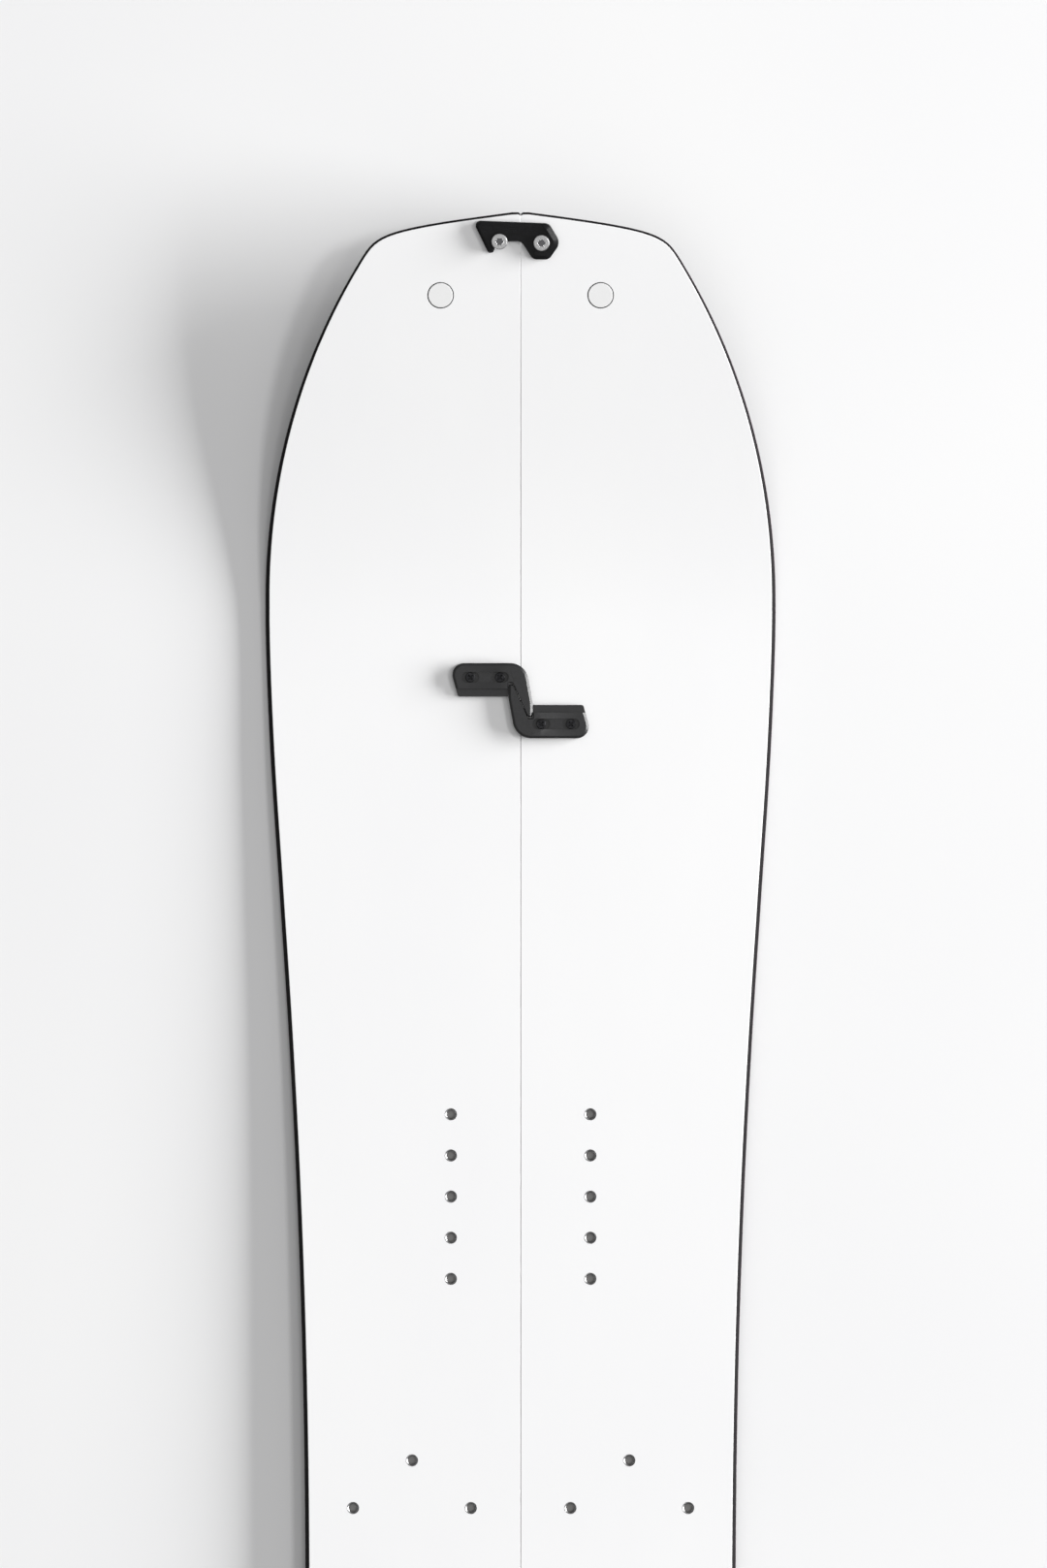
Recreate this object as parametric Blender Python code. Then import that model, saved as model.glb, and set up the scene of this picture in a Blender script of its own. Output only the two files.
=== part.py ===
"""Splitboard, 1620 mm long: two laminated halves, held side by side by interlocking hooks on
the seam and by turning clips at the tip and at the tail.

Frame: +X across the board to its right, +Y along it to the tip, +Z up. The origin is under
the middle of the board, level with the lowest line of its base. Units are metres.
"""
import math

import bmesh
import bpy
from mathutils import Matrix, Vector

# Outline of the board, seen from above
BOARD_LENGTH = 1.620
NOSE_WIDTH = 0.3156
WAIST_WIDTH = 0.2660
TAIL_WIDTH = 0.3010
NOSE_LENGTH = 0.2418            # from the tip to the widest line of the nose
TAIL_LENGTH = 0.2200
WAIST_FROM_TIP = 0.8640
NOSE_CORNER = (0.0980, 0.0280)  # from the seam, and back from the tip
TAIL_CORNER = (0.0930, 0.0260)
END_FLAT = 0.0050               # half the straight stretch across the seam at either end
END_SLOPE = 0.128               # how much the end edge falls back beside the seam
END_REACH = 0.85                # share of the end edge over which that slope tells
END_ROUNDING = 0.0176           # handle that rounds the corner
SHOULDER = 0.445                # share of the nose's side that runs straight on from the corner
SHOULDER_EASE = 0.12            # share over which it turns level with the board
SIDECUT_EASE = (0.21, 0.546)    # shares of the sidecut that hold to the wide line, to the waist

# Side profile
CAMBER = 0.0050
NOSE_RISE = 0.0380
TAIL_RISE = 0.0260
NOSE_CONTACT_FROM_TIP = 0.2620
TAIL_CONTACT_FROM_END = 0.2350
RISE_SHAPE = 2.3                # 3 ends level, 1 ends at its steepest
MIDDLE_THICKNESS = 0.0080
END_THICKNESS = 0.0052
FULL_THICKNESS_HALF = 0.3300    # half the length that keeps the full thickness

# Laminate
CLEARANCE = 0.0003
SEAM_GAP = 0.0004
BASE_THICKNESS = 0.0018
TOPSHEET_THICKNESS = 0.0008
EDGE_WIDTH = 0.0020
SIDEWALL_WIDTH = 0.0080
SIDEWALL_FOOT_INSET = 0.00015
TOPSHEET_INSET = 0.0025         # along the sides
TOPSHEET_END_INSET = 0.0015     # at the tip and the tail
SEAM_WALL_WIDTH = 0.0035
SEAM_STEP = 0.0085              # least step between the points along the seam
CUT_PAST = 0.0040               # how far a cut runs on past what it cuts

# Threaded inserts
INSERT_DIAMETER = 0.0074
INSERT_BORE = 0.0050
INSERT_HEIGHT = 0.0050
INSERT_CHAMFER = 0.0004
INSERT_DROP = 0.0002            # rim below the topsheet
INSERT_PITCH = 0.0254
PACK_COUNT = 5
PACK_FROM_SEAM = 0.0431
FRONT_PACK_FROM_TIP = 0.6069
REAR_PACK_FROM_TIP = 1.1570
BRACKET_FRONT_FROM_TIP = 0.7698
BRACKET_REAR_SETBACK = 0.0294
BRACKET_HALF_SPACING = 0.0364

# Tip plugs
PLUG_DIAMETER = 0.0152
PLUG_GROOVE = 0.0005
PLUG_HEIGHT = 0.0017
PLUG_FROM_SEAM = 0.0493
PLUG_FROM_TIP = 0.0510

# Hook pairs, measured from the centre of the pair
HOOK_FROM_TIP = 0.3006
HOOK_FROM_TAIL = 0.3000
HOOK_CORNER = (-0.0444, 0.0232)     # where the outer end would meet the top edge unrounded
HOOK_CORNER_RADIUS = 0.0073
HOOK_FOOT_CORNER = (-0.0387, 0.0026)
HOOK_FOOT_RADIUS = 0.0016
HOOK_LEDGE = 0.0074
HOOK_LEDGE_HEIGHT = 0.0024
HOOK_HEIGHT = 0.0058                # of the arm and its root
HOOK_PLATE_HEIGHT = 0.0046          # round the outer screw
HOOK_RAMP = (-0.0205, -0.0125)      # where the plate climbs to the arm
HOOK_FLOOR = 0.0014
HOOK_CHAMFER = (0.0015, 0.0009)     # width, drop
INNER_CHAMFER = 0.0003              # width along the sides that face the other hook
ARM_END_CHAMFER = 0.0005            # width
HOOK_SEAT = 0.0004
ARM_REACH = 0.0075
ARM_BEND = -0.0015                  # where the arm's outer side turns in
ARM_BEND_RADIUS = 0.0200
ARM_TIP_RADII = (0.0005, 0.0012)
ARM_SHOULDER = 0.0030               # where that side would meet the top edge unrounded
ARM_SHOULDER_RADIUS = 0.0114
ARM_DROP = 0.0098
ARM_LIFT = 0.0013                   # space under the arm, over the other half
ARM_FACE_TILT = 0.449               # run across the board for each unit along it
ARM_PLAY = 0.0003
ARM_END_ROOM = 0.0013
RECESS_DEPTH = 0.0009
POCKET_WIDTH = 0.0067
POCKET_LENGTH = 0.0109
POCKET_CENTRES = (-0.03105, -0.01275)
POCKET_LINE = 0.01445

# Hook screws
HOOK_SCREW_HEAD = 0.0060
HOOK_SCREW_HEAD_HEIGHT = 0.0019
HOOK_SCREW_SHANK = 0.0040
HOOK_SCREW_SOCKET = (0.0036, 0.0013)    # across corners, depth
HOOK_SCREW_DEPTH = 0.0035       # into the board

# Turning clips, measured from the pivot
PIVOT_FROM_SEAM = 0.0129
PIVOT_FROM_END = 0.0186
POST_FROM_PIVOT = (-0.0259, 0.0009)
CLIP_SEAT = 0.0006
CLIP_THICKNESS = 0.0036
CLIP_STEP = 0.0012              # drop of the chamfers, and of the bar between the two ends
STEP_RADIUS = 0.0056            # room beyond the post's centre
CLIP_FINGER = ((-0.0067, -0.0075, 0.0018), (-0.0040, -0.0068, 0.0012))  # from the post
CLIP_TOP_CORNER = (-0.0165, 0.0128, 0.0030)                             # from the post
CLIP_BODY = ((-0.0054, -0.0102, 0.0044), (0.0045, -0.0104, 0.0045), (0.0118, -0.0001, 0.0068),
             (0.0045, 0.0119, 0.0050))
CLIP_CHAMFERS = (0.0010, 0.0024, 0.0030, 0.0030, 0.0028, 0.0016)   # widths, from the throat on
FINGER_CHAMFERS = (0.0008, 0.0003)      # widths, at the finger's tip and round the slot
CLIP_THROAT = (-0.0124, 0.0050)     # where the bar's lower side meets the body, and its radius
STEP_SIDE = ((-0.0070, -0.0200), (-0.0030, -0.0010), (0.0042, 0.0056), (0.0002, 0.0120), (-0.0010, 0.0200))
SLOT_RUN = 9                        # degrees of the slot past the post
POST_SHANK = 0.0050
POST_PLAY = 0.0005
POST_HEAD_LIFT = 0.0009         # room for the clip to turn out from under the head
PIVOT_SHANK = 0.0050
CLIP_HEAD_DIAMETER = 0.0100
CLIP_HEAD_HEIGHT = 0.0022
CLIP_HEAD_CHAMFER = 0.0006
CLIP_SOCKET = (0.0050, 0.0014)      # across corners, depth
CLIP_SCREW_DEPTH = 0.0028       # into the board

HOLE_SIDES = 12
NEARLY_STRAIGHT = 0.02          # radians
LEAST_RADIUS = 0.00005
HALF = {"left": -1, "right": 1}


# ---------------------------------------------------------------- outline and profile

def bezier(a, b, c, d, count):
    """count points of a cubic curve from a, leaving out d."""
    points = []
    for i in range(count):
        t = i / count
        u = 1 - t
        points.append(tuple(u ** 3 * p + 3 * u * u * t * q + 3 * u * t * t * r + t ** 3 * s
                            for p, q, r, s in zip(a, b, c, d)))
    return points


def spaced(a, b, c, d, count):
    """Points of a cubic curve from a, leaving out d, at count equal steps along the board and
    where the board touches the snow."""
    contacts = (NOSE_CONTACT_FROM_TIP, TAIL_CONTACT_FROM_END)
    steps = {a[1] + (d[1] - a[1]) * i / count for i in range(count)}
    steps.update(s for s in contacts if a[1] + SEAM_STEP < s < d[1] - SEAM_STEP)
    points = []
    for wanted in sorted(steps):
        low, high = 0.0, 1.0
        for _ in range(30):
            t = (low + high) / 2
            x, s = ((1 - t) ** 3 * p + 3 * (1 - t) ** 2 * t * q + 3 * (1 - t) * t * t * r + t ** 3 * w
                    for p, q, r, w in zip(a, b, c, d))
            low, high = (t, high) if s < wanted else (low, t)
        points.append((x, wanted))
    return points


def end_outline(half_width, length, corner):
    """Nose or tail from the seam to its widest line: (across, back from the end)."""
    x, back = corner
    side_run = length - back
    shoulder = (half_width, back + SHOULDER * side_run)
    run = math.hypot(shoulder[0] - x, shoulder[1] - back)
    into = (x - END_ROUNDING * (shoulder[0] - x) / run, back - END_ROUNDING * (shoulder[1] - back) / run)
    reach = END_REACH * (x - END_FLAT)
    front = bezier((END_FLAT, 0), (END_FLAT + reach, END_SLOPE * reach), into, corner, 10)
    side = spaced(corner, shoulder, (half_width, length - SHOULDER_EASE * side_run),
                  (half_width, length), 12)
    return front + side


def sidecut(wide, narrow, start, end, count):
    """Side curve from a wide line to the waist: (across, from the tip)."""
    run = end - start
    leave, arrive = SIDECUT_EASE
    return spaced((wide, start), (wide, start + leave * run), (narrow, end - arrive * run),
                  (narrow, end), count)


def outer_contour():
    """Outer side of the right half, from the tip to the tail: (across, from the tip)."""
    nose, waist, tail = NOSE_WIDTH / 2, WAIST_WIDTH / 2, TAIL_WIDTH / 2
    tail_line = BOARD_LENGTH - TAIL_LENGTH
    points = end_outline(nose, NOSE_LENGTH, NOSE_CORNER)
    points += sidecut(nose, waist, NOSE_LENGTH, WAIST_FROM_TIP, 7)
    points.append((waist, WAIST_FROM_TIP))
    rear = sidecut(tail, waist, BOARD_LENGTH - tail_line, BOARD_LENGTH - WAIST_FROM_TIP, 7)
    points += [(x, BOARD_LENGTH - s) for x, s in reversed(rear)]
    end = end_outline(tail, TAIL_LENGTH, TAIL_CORNER)
    points += [(x, BOARD_LENGTH - s) for x, s in reversed(end)]
    return points


CONTOUR = outer_contour()


def topsheet_inset(s):
    """Width of the bare sidewall round the topsheet: narrower at the ends than along the sides."""
    from_end = min(s, BOARD_LENGTH - s)
    share = min(max((from_end - NOSE_CORNER[1]) / (NOSE_LENGTH - NOSE_CORNER[1]), 0), 1)
    return TOPSHEET_END_INSET + (TOPSHEET_INSET - TOPSHEET_END_INSET) * share


def inset_contour(distance):
    """The outer side moved inwards by a distance, which may be a function of the place."""
    moved = []
    for i, (x, s) in enumerate(CONTOUR):
        inset = distance(s) if callable(distance) else distance
        if i in (0, len(CONTOUR) - 1):
            moved.append((x, s + inset if i == 0 else s - inset))
            continue
        along = (Vector(CONTOUR[i + 1]) - Vector(CONTOUR[i - 1])).normalized()
        moved.append((x - inset * along.y, s + inset * along.x))
    return moved


def half_width(from_tip):
    """Half the width of the board at a distance from the tip."""
    for (x0, s0), (x1, s1) in zip(CONTOUR, CONTOUR[1:]):
        if s0 <= from_tip <= s1:
            return x0 + (x1 - x0) * (from_tip - s0) / (s1 - s0)
    return END_FLAT


def y_at(from_tip):
    return BOARD_LENGTH / 2 - from_tip


def kick(u, rise):
    return rise * (RISE_SHAPE * u ** 2 - (RISE_SHAPE - 1) * u ** 3)


def base_height(y):
    """Height of the running surface above the contact lines."""
    from_tip = BOARD_LENGTH / 2 - y
    from_end = BOARD_LENGTH - from_tip
    if from_tip < NOSE_CONTACT_FROM_TIP:
        return kick(1 - from_tip / NOSE_CONTACT_FROM_TIP, NOSE_RISE)
    if from_end < TAIL_CONTACT_FROM_END:
        return kick(1 - from_end / TAIL_CONTACT_FROM_END, TAIL_RISE)
    run = BOARD_LENGTH - NOSE_CONTACT_FROM_TIP - TAIL_CONTACT_FROM_END
    return CAMBER * math.sin(math.pi * (from_tip - NOSE_CONTACT_FROM_TIP) / run) ** 2


def thickness(y):
    half = BOARD_LENGTH / 2
    q = min(max((abs(y) - FULL_THICKNESS_HALF) / (half - FULL_THICKNESS_HALF), 0), 1)
    return MIDDLE_THICKNESS - (MIDDLE_THICKNESS - END_THICKNESS) * q * q * (3 - 2 * q)


def top_height(y):
    return base_height(y) + thickness(y)


def seat(x, y, toward=1, span=0.012):
    """Frame lying on the topsheet at x, y, with its Y axis uphill along the board (toward = 1
    faces the tip, -1 the tail) and its Z axis square to the surface."""
    slope = math.atan2(top_height(y + span) - top_height(y - span), 2 * span)
    turn = Matrix.Rotation(slope, 4, "X")
    if toward < 0:
        turn = turn @ Matrix.Rotation(math.pi, 4, "Z")
    return Matrix.Translation((x, y, top_height(y))) @ turn


# ---------------------------------------------------------------- mesh helpers

def material(name, color, roughness, metallic=0.0):
    finish = bpy.data.materials.new(name)
    finish.use_nodes = True
    shader = finish.node_tree.nodes["Principled BSDF"]
    shader.inputs["Base Color"].default_value = (*color, 1)
    shader.inputs["Roughness"].default_value = roughness
    shader.inputs["Metallic"].default_value = metallic
    return finish


def make_object(name, mesh, finish=None, place=None, parent=None):
    made = bpy.data.objects.new(name, mesh)
    bpy.context.scene.collection.objects.link(made)
    if finish:
        mesh.materials.append(finish)
    if parent:
        made.parent = parent
    if place:
        made.matrix_world = place
    return made


def closed_mesh(name, points, faces):
    mesh = bpy.data.meshes.new(name)
    mesh.from_pydata([tuple(p) for p in points], [], faces)
    shaped = bmesh.new()
    shaped.from_mesh(mesh)
    bmesh.ops.recalc_face_normals(shaped, faces=shaped.faces[:])
    shaped.to_mesh(mesh)
    shaped.free()
    return mesh


def smooth(made, angle=35):
    made.data.shade_smooth()
    made.data.set_sharp_from_angle(angle=math.radians(angle))


def stacked_loops(name, loops):
    """Closed solid through loops of equal length, lowest first, with flat ends."""
    count = len(loops[0])
    points = [p for loop in loops for p in loop]
    faces = [list(range(count))[::-1]]
    for level in range(len(loops) - 1):
        low, high = level * count, (level + 1) * count
        for i in range(count):
            j = (i + 1) % count
            faces.append([low + i, low + j, high + j, high + i])
    faces.append(list(range((len(loops) - 1) * count, len(loops) * count)))
    return closed_mesh(name, points, faces)


def prism(name, outline, low, high, top_outline=None, drop=0):
    """Upright solid over an anticlockwise outline. Its top edge slopes in to top_outline over
    the drop."""
    loops = [[(x, y, low) for x, y in outline]]
    loops.append([(x, y, high - drop) for x, y in outline])
    if top_outline:
        loops.append([(x, y, high) for x, y in top_outline])
    return stacked_loops(name, loops)


def rounded(corners, step, insets=None):
    """Anticlockwise outline through (x, y, radius) corners, each an arc with a point every step
    degrees. insets moves in the sides, the first of which leaves the first corner."""
    points = []
    for i, (x, y, radius) in enumerate(corners):
        here = Vector((x, y))
        into = (here - Vector(corners[i - 1][:2])).normalized()
        out = (Vector(corners[(i + 1) % len(corners)][:2]) - here).normalized()
        before, after = (insets[i - 1], insets[i]) if insets else (0, 0)
        cross = into.x * out.y - into.y * out.x
        if abs(cross) > NEARLY_STRAIGHT:
            here = here + (out * before - into * after) / cross
        else:
            here = here + Vector((-into.y, into.x)) * before
        side = math.copysign(1, cross)
        turn = math.acos(max(-1, min(1, into.dot(out))))
        if radius == 0 or turn < NEARLY_STRAIGHT:
            points.append(tuple(here))
            continue
        radius = max(radius - side * (before + after) / 2, LEAST_RADIUS)
        start = here - into * radius * math.tan(turn / 2)
        centre = start + Vector((-into.y, into.x)) * side * radius
        spoke = start - centre
        count = max(1, round(math.degrees(turn) / step))
        for k in range(count + 1):
            c, s = math.cos(side * turn * k / count), math.sin(side * turn * k / count)
            points.append((centre.x + spoke.x * c - spoke.y * s, centre.y + spoke.x * s + spoke.y * c))
    return points


def turned(name, profile, sides=HOLE_SIDES, socket=0.0):
    """Solid turned about Z from (radius, height) pairs, from the bottom centre to the top
    centre. Rings whose radius is socket are hexagons."""
    loops = []
    for radius, height in profile:
        loop = []
        for i in range(sides):
            angle = 2 * math.pi * i / sides
            size = radius
            if socket and abs(radius - socket) < 1e-9:
                corner = angle % (math.pi / 3) - math.pi / 6
                size = radius * math.cos(math.pi / 6) / math.cos(corner)
            loop.append((size * math.cos(angle), size * math.sin(angle), height))
        loops.append(loop)
    return stacked_loops(name, loops)


def bushing(name, outer, inner, height, chamfer, sides=HOLE_SIDES):
    """Round tube standing on z = -height, with its top outer edge chamfered."""
    section = [(outer, -height), (outer, -chamfer), (outer - chamfer, 0), (inner, 0), (inner, -height)]
    points, faces = [], []
    for i in range(sides):
        angle = 2 * math.pi * i / sides
        points += [(r * math.cos(angle), r * math.sin(angle), z) for r, z in section]
    ring = len(section)
    for i in range(sides):
        this, following = i * ring, (i + 1) % sides * ring
        for j in range(ring):
            k = (j + 1) % ring
            faces.append([this + j, following + j, following + k, this + k])
    return closed_mesh(name, points, faces)


def cut(target, cutter_meshes):
    """Takes the cutters' shapes out of target. Cutters of one list don't touch each other."""
    joined = bmesh.new()
    for mesh, place in cutter_meshes:
        part = bmesh.new()
        part.from_mesh(mesh)
        bmesh.ops.transform(part, matrix=place, verts=part.verts[:])
        placed = bpy.data.meshes.new("cutter")
        part.to_mesh(placed)
        part.free()
        joined.from_mesh(placed)
        bpy.data.meshes.remove(placed)
    cutter_mesh = bpy.data.meshes.new("cutter")
    joined.to_mesh(cutter_mesh)
    joined.free()
    cutter = make_object("cutter", cutter_mesh)
    carve = target.modifiers.new("cut", "BOOLEAN")
    carve.operation = "DIFFERENCE"
    carve.solver = "EXACT"
    carve.object = cutter
    bpy.context.view_layer.update()
    seen = target.evaluated_get(bpy.context.evaluated_depsgraph_get())
    result = bpy.data.meshes.new_from_object(seen)
    target.modifiers.remove(carve)
    target.data = result
    bpy.data.objects.remove(cutter)
    bpy.data.meshes.remove(cutter_mesh)


# ---------------------------------------------------------------- laminate

def sheet(name, side, inset, seam, low, high):
    """Layer of one half, from low(y) to high(y), inset from the outer side and from the seam."""
    rows = []
    for x, s in inset_contour(inset):
        y = y_at(s)
        rows.append([(side * seam, y, low(y)), (side * x, y, low(y)),
                     (side * x, y, high(y)), (side * seam, y, high(y))])
    return stacked_loops(name, rows)


def seam_steps():
    """Distances from the tip of the points along the seam, from the tail up."""
    steps = [BOARD_LENGTH]
    for _, s in reversed(CONTOUR):
        if steps[-1] - s > SEAM_STEP and s > SEAM_STEP + SIDEWALL_WIDTH:
            steps.append(s)
    return steps[1:]


def band_loop(side, inset, seam, height):
    """Closed path round one half: down its outer side and back along the seam."""
    outer = inset_contour(inset)
    path = [(x, s) for x, s in outer]
    path.append((seam, outer[-1][1]))
    path += [(seam, s) for s in seam_steps()]
    path.append((seam, outer[0][1]))
    return [(side * x, y_at(s), height(y_at(s))) for x, s in path]


def band(name, side, foot_inset, top_inset, width, seam_width, low, high):
    """Frame round one half: width on the outer side, seam_width along the seam."""
    seam = SEAM_GAP / 2
    loops = [band_loop(side, foot_inset, seam, low), band_loop(side, top_inset, seam, high),
             band_loop(side, width, seam + seam_width, high), band_loop(side, width, seam + seam_width, low)]
    count = len(loops[0])
    points = [p for loop in loops for p in loop]
    faces = []
    for i in range(count):
        j = (i + 1) % count
        for k in range(4):
            m = (k + 1) % 4
            faces.append([k * count + i, k * count + j, m * count + j, m * count + i])
    return closed_mesh(name, points, faces)


def above_base(y):
    return base_height(y) + BASE_THICKNESS


def under_topsheet(y):
    return top_height(y) - TOPSHEET_THICKNESS - CLEARANCE


def laminate(side_name, parent, sheet_holes, core_holes):
    """Base, steel edge, sidewall, core and topsheet of one half."""
    side = HALF[side_name]
    seam = SEAM_GAP / 2
    layers = []
    base = sheet("base_" + side_name, side, EDGE_WIDTH + CLEARANCE, seam + EDGE_WIDTH + CLEARANCE,
                 base_height, above_base)
    layers.append(make_object("base_" + side_name, base, FINISH["base"], parent=parent))
    edge = band("steel_edge_" + side_name, side, 0, 0, EDGE_WIDTH, EDGE_WIDTH, base_height, above_base)
    layers.append(make_object("steel_edge_" + side_name, edge, FINISH["steel"], parent=parent))
    wall = band("sidewall_" + side_name, side, SIDEWALL_FOOT_INSET, topsheet_inset, SIDEWALL_WIDTH,
                SEAM_WALL_WIDTH, lambda y: above_base(y) + CLEARANCE, under_topsheet)
    layers.append(make_object("sidewall_" + side_name, wall, FINISH["sidewall"], parent=parent))
    core = sheet("core_" + side_name, side, SIDEWALL_WIDTH + CLEARANCE,
                 seam + SEAM_WALL_WIDTH + CLEARANCE, lambda y: above_base(y) + CLEARANCE, under_topsheet)
    core = make_object("core_" + side_name, core, FINISH["core"], parent=parent)
    cut(core, core_holes)
    layers.append(core)
    cover = sheet("topsheet_" + side_name, side, topsheet_inset, seam,
                  lambda y: top_height(y) - TOPSHEET_THICKNESS, top_height)
    cover = make_object("topsheet_" + side_name, cover, FINISH["topsheet"], parent=parent)
    cut(cover, sheet_holes)
    layers.append(cover)
    for layer in layers:
        smooth(layer)


# ---------------------------------------------------------------- holes

def drill(radius, low, high):
    return turned("drill", [(radius, low), (radius, high)])


def fitting_holes(place, radius, depth):
    """Hole through the topsheet and a blind hole in the core, for a round fitting."""
    wide = radius + CLEARANCE
    return ((drill(wide, -TOPSHEET_THICKNESS - CLEARANCE, CUT_PAST), place),
            (drill(wide, -depth - CLEARANCE, CUT_PAST), place))


# ---------------------------------------------------------------- fittings

def insert_places(side_name):
    """Names and places of the threaded inserts of one half."""
    side = HALF[side_name]
    places = []
    for pack, centre in (("front", FRONT_PACK_FROM_TIP), ("rear", REAR_PACK_FROM_TIP)):
        for i in range(PACK_COUNT):
            y = y_at(centre + (i - (PACK_COUNT - 1) / 2) * INSERT_PITCH)
            places.append((f"insert_{pack}_{side_name}_{i + 1}", seat(side * PACK_FROM_SEAM, y)))
    front_y = y_at(BRACKET_FRONT_FROM_TIP)
    rear_y = front_y - BRACKET_REAR_SETBACK
    middle = half_width(BRACKET_FRONT_FROM_TIP) / 2 + CLEARANCE
    spots = [(middle, front_y), (middle - BRACKET_HALF_SPACING, rear_y),
             (middle + BRACKET_HALF_SPACING, rear_y)]
    for i, (x, y) in enumerate(spots):
        places.append((f"insert_touring_{side_name}_{i + 1}", seat(side * x, y)))
    return places


def hook_outline(insets=None):
    """Left hook of a pair, seen from above, about the pair's centre."""
    top, foot = HOOK_CORNER[1], HOOK_FOOT_CORNER[1]
    play = ARM_PLAY / 2 * math.hypot(1, ARM_FACE_TILT)
    notch = ARM_DROP + ARM_END_ROOM
    inner = -ARM_REACH - ARM_PLAY
    corners = [(inner, foot, 0), (inner, notch, 0), (play - ARM_FACE_TILT * notch, notch, 0),
               (play + ARM_FACE_TILT * ARM_DROP, -ARM_DROP, ARM_TIP_RADII[0]),
               (ARM_REACH, -ARM_DROP, ARM_TIP_RADII[1]), (ARM_REACH, ARM_BEND, ARM_BEND_RADIUS),
               (ARM_SHOULDER, top, ARM_SHOULDER_RADIUS), (*HOOK_CORNER, HOOK_CORNER_RADIUS),
               (*HOOK_FOOT_CORNER, HOOK_FOOT_RADIUS)]
    return rounded(corners, 15, insets)


def stadium(centre, length, width, sides=10):
    """Straight-sided slot outline with round ends, anticlockwise, along X."""
    x, y = centre
    radius, run = width / 2, (length - width) / 2
    half = sides // 2
    points = []
    for end in (1, -1):
        for i in range(half + 1):
            angle = (-math.pi / 2 if end > 0 else math.pi / 2) + math.pi * i / half
            points.append((x + end * run + radius * math.cos(angle), y + radius * math.sin(angle)))
    return points


def rectangle(low, high):
    return [(low[0], low[1]), (high[0], low[1]), (high[0], high[1]), (low[0], high[1])]


def hook_body(name):
    """Hook before its pockets are cut: a chamfered block whose top climbs a ramp from the
    plate round the outer screw to the arm."""
    wide, drop = HOOK_CHAMFER
    insets = [INNER_CHAMFER] * 3 + [ARM_END_CHAMFER] + [wide] * 4 + [INNER_CHAMFER]
    mesh = prism(name, hook_outline(), HOOK_SEAT, HOOK_HEIGHT, hook_outline(insets), drop)
    low, high = HOOK_RAMP
    shaped = bmesh.new()
    shaped.from_mesh(mesh)
    for x in (low, high):
        whole = shaped.verts[:] + shaped.edges[:] + shaped.faces[:]
        bmesh.ops.bisect_plane(shaped, geom=whole, plane_co=(x, 0, 0), plane_no=(1, 0, 0))
    for point in shaped.verts:
        if point.co.z > HOOK_SEAT + CLEARANCE:
            share = min(max((high - point.co.x) / (high - low), 0), 1)
            point.co.z -= share * (HOOK_HEIGHT - HOOK_PLATE_HEIGHT)
    shaped.to_mesh(mesh)
    shaped.free()
    return mesh


def hook_pair(name, centre_y, halves):
    """Two equal hooks, each turned half round from the other, with two screws each."""
    holes = {"left": [], "right": []}
    middle = seat(0, centre_y, span=HOOK_CORNER[1])
    screw_bottom = -HOOK_SCREW_DEPTH - TOPSHEET_THICKNESS
    head_low = HOOK_SEAT + HOOK_FLOOR + CLEARANCE
    head_high = head_low + HOOK_SCREW_HEAD_HEIGHT
    socket, socket_depth = HOOK_SCREW_SOCKET[0] / 2, HOOK_SCREW_SOCKET[1]
    shank, head = HOOK_SCREW_SHANK / 2, HOOK_SCREW_HEAD / 2
    above = HOOK_HEIGHT + CUT_PAST
    for side_name in ("left", "right"):
        place = middle if side_name == "left" else middle @ Matrix.Rotation(math.pi, 4, "Z")
        hook = make_object(f"hook_{name}_{side_name}", hook_body(name), FINISH["nylon"], place,
                           halves[side_name])
        ledge = rectangle((2 * HOOK_CORNER[0], -CUT_PAST), (-ARM_REACH + ARM_PLAY, HOOK_LEDGE))
        cut(hook, [(prism("ledge", ledge, HOOK_LEDGE_HEIGHT, above), place)])
        under_arm = rectangle((-SEAM_GAP, -HOOK_CORNER[1]),
                              (ARM_REACH + CUT_PAST, HOOK_CORNER[1] + CUT_PAST))
        cut(hook, [(prism("under_arm", under_arm, -CUT_PAST, ARM_LIFT), place)])
        recess = stadium((sum(POCKET_CENTRES) / 2, POCKET_LINE),
                         POCKET_CENTRES[1] - POCKET_CENTRES[0] + POCKET_LENGTH, POCKET_WIDTH)
        cut(hook, [(prism("recess", recess, HOOK_PLATE_HEIGHT - RECESS_DEPTH, above), place)])
        pockets, bores = [], []
        for x in POCKET_CENTRES:
            slot = stadium((x, POCKET_LINE), POCKET_LENGTH, POCKET_WIDTH)
            pockets.append((prism("pocket", slot, HOOK_SEAT + HOOK_FLOOR, above), place))
            spot = place @ Matrix.Translation((x, POCKET_LINE, 0))
            bores.append((drill(shank + CLEARANCE, -CUT_PAST, above), spot))
        cut(hook, pockets)
        cut(hook, bores)
        smooth(hook)
        for i, x in enumerate(POCKET_CENTRES):
            spot = place @ Matrix.Translation((x, POCKET_LINE, 0))
            shape = [(shank, screw_bottom), (shank, head_low), (head, head_low), (head, head_high),
                     (socket, head_high), (socket, head_high - socket_depth)]
            mesh = turned("screw", shape, socket=socket)
            screw = make_object(f"hook_screw_{name}_{side_name}_{i + 1}", mesh, FINISH["stainless"],
                                spot, halves[side_name])
            smooth(screw)
            holes[side_name].append(fitting_holes(spot, shank, -screw_bottom))
    return holes


def arc(centre, radius, start, end, count):
    """Points on a circle from start to end degrees, both included."""
    x, y = centre
    angles = [math.radians(start + (end - start) * i / count) for i in range(count + 1)]
    return [(x + radius * math.cos(a), y + radius * math.sin(a)) for a in angles]


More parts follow.
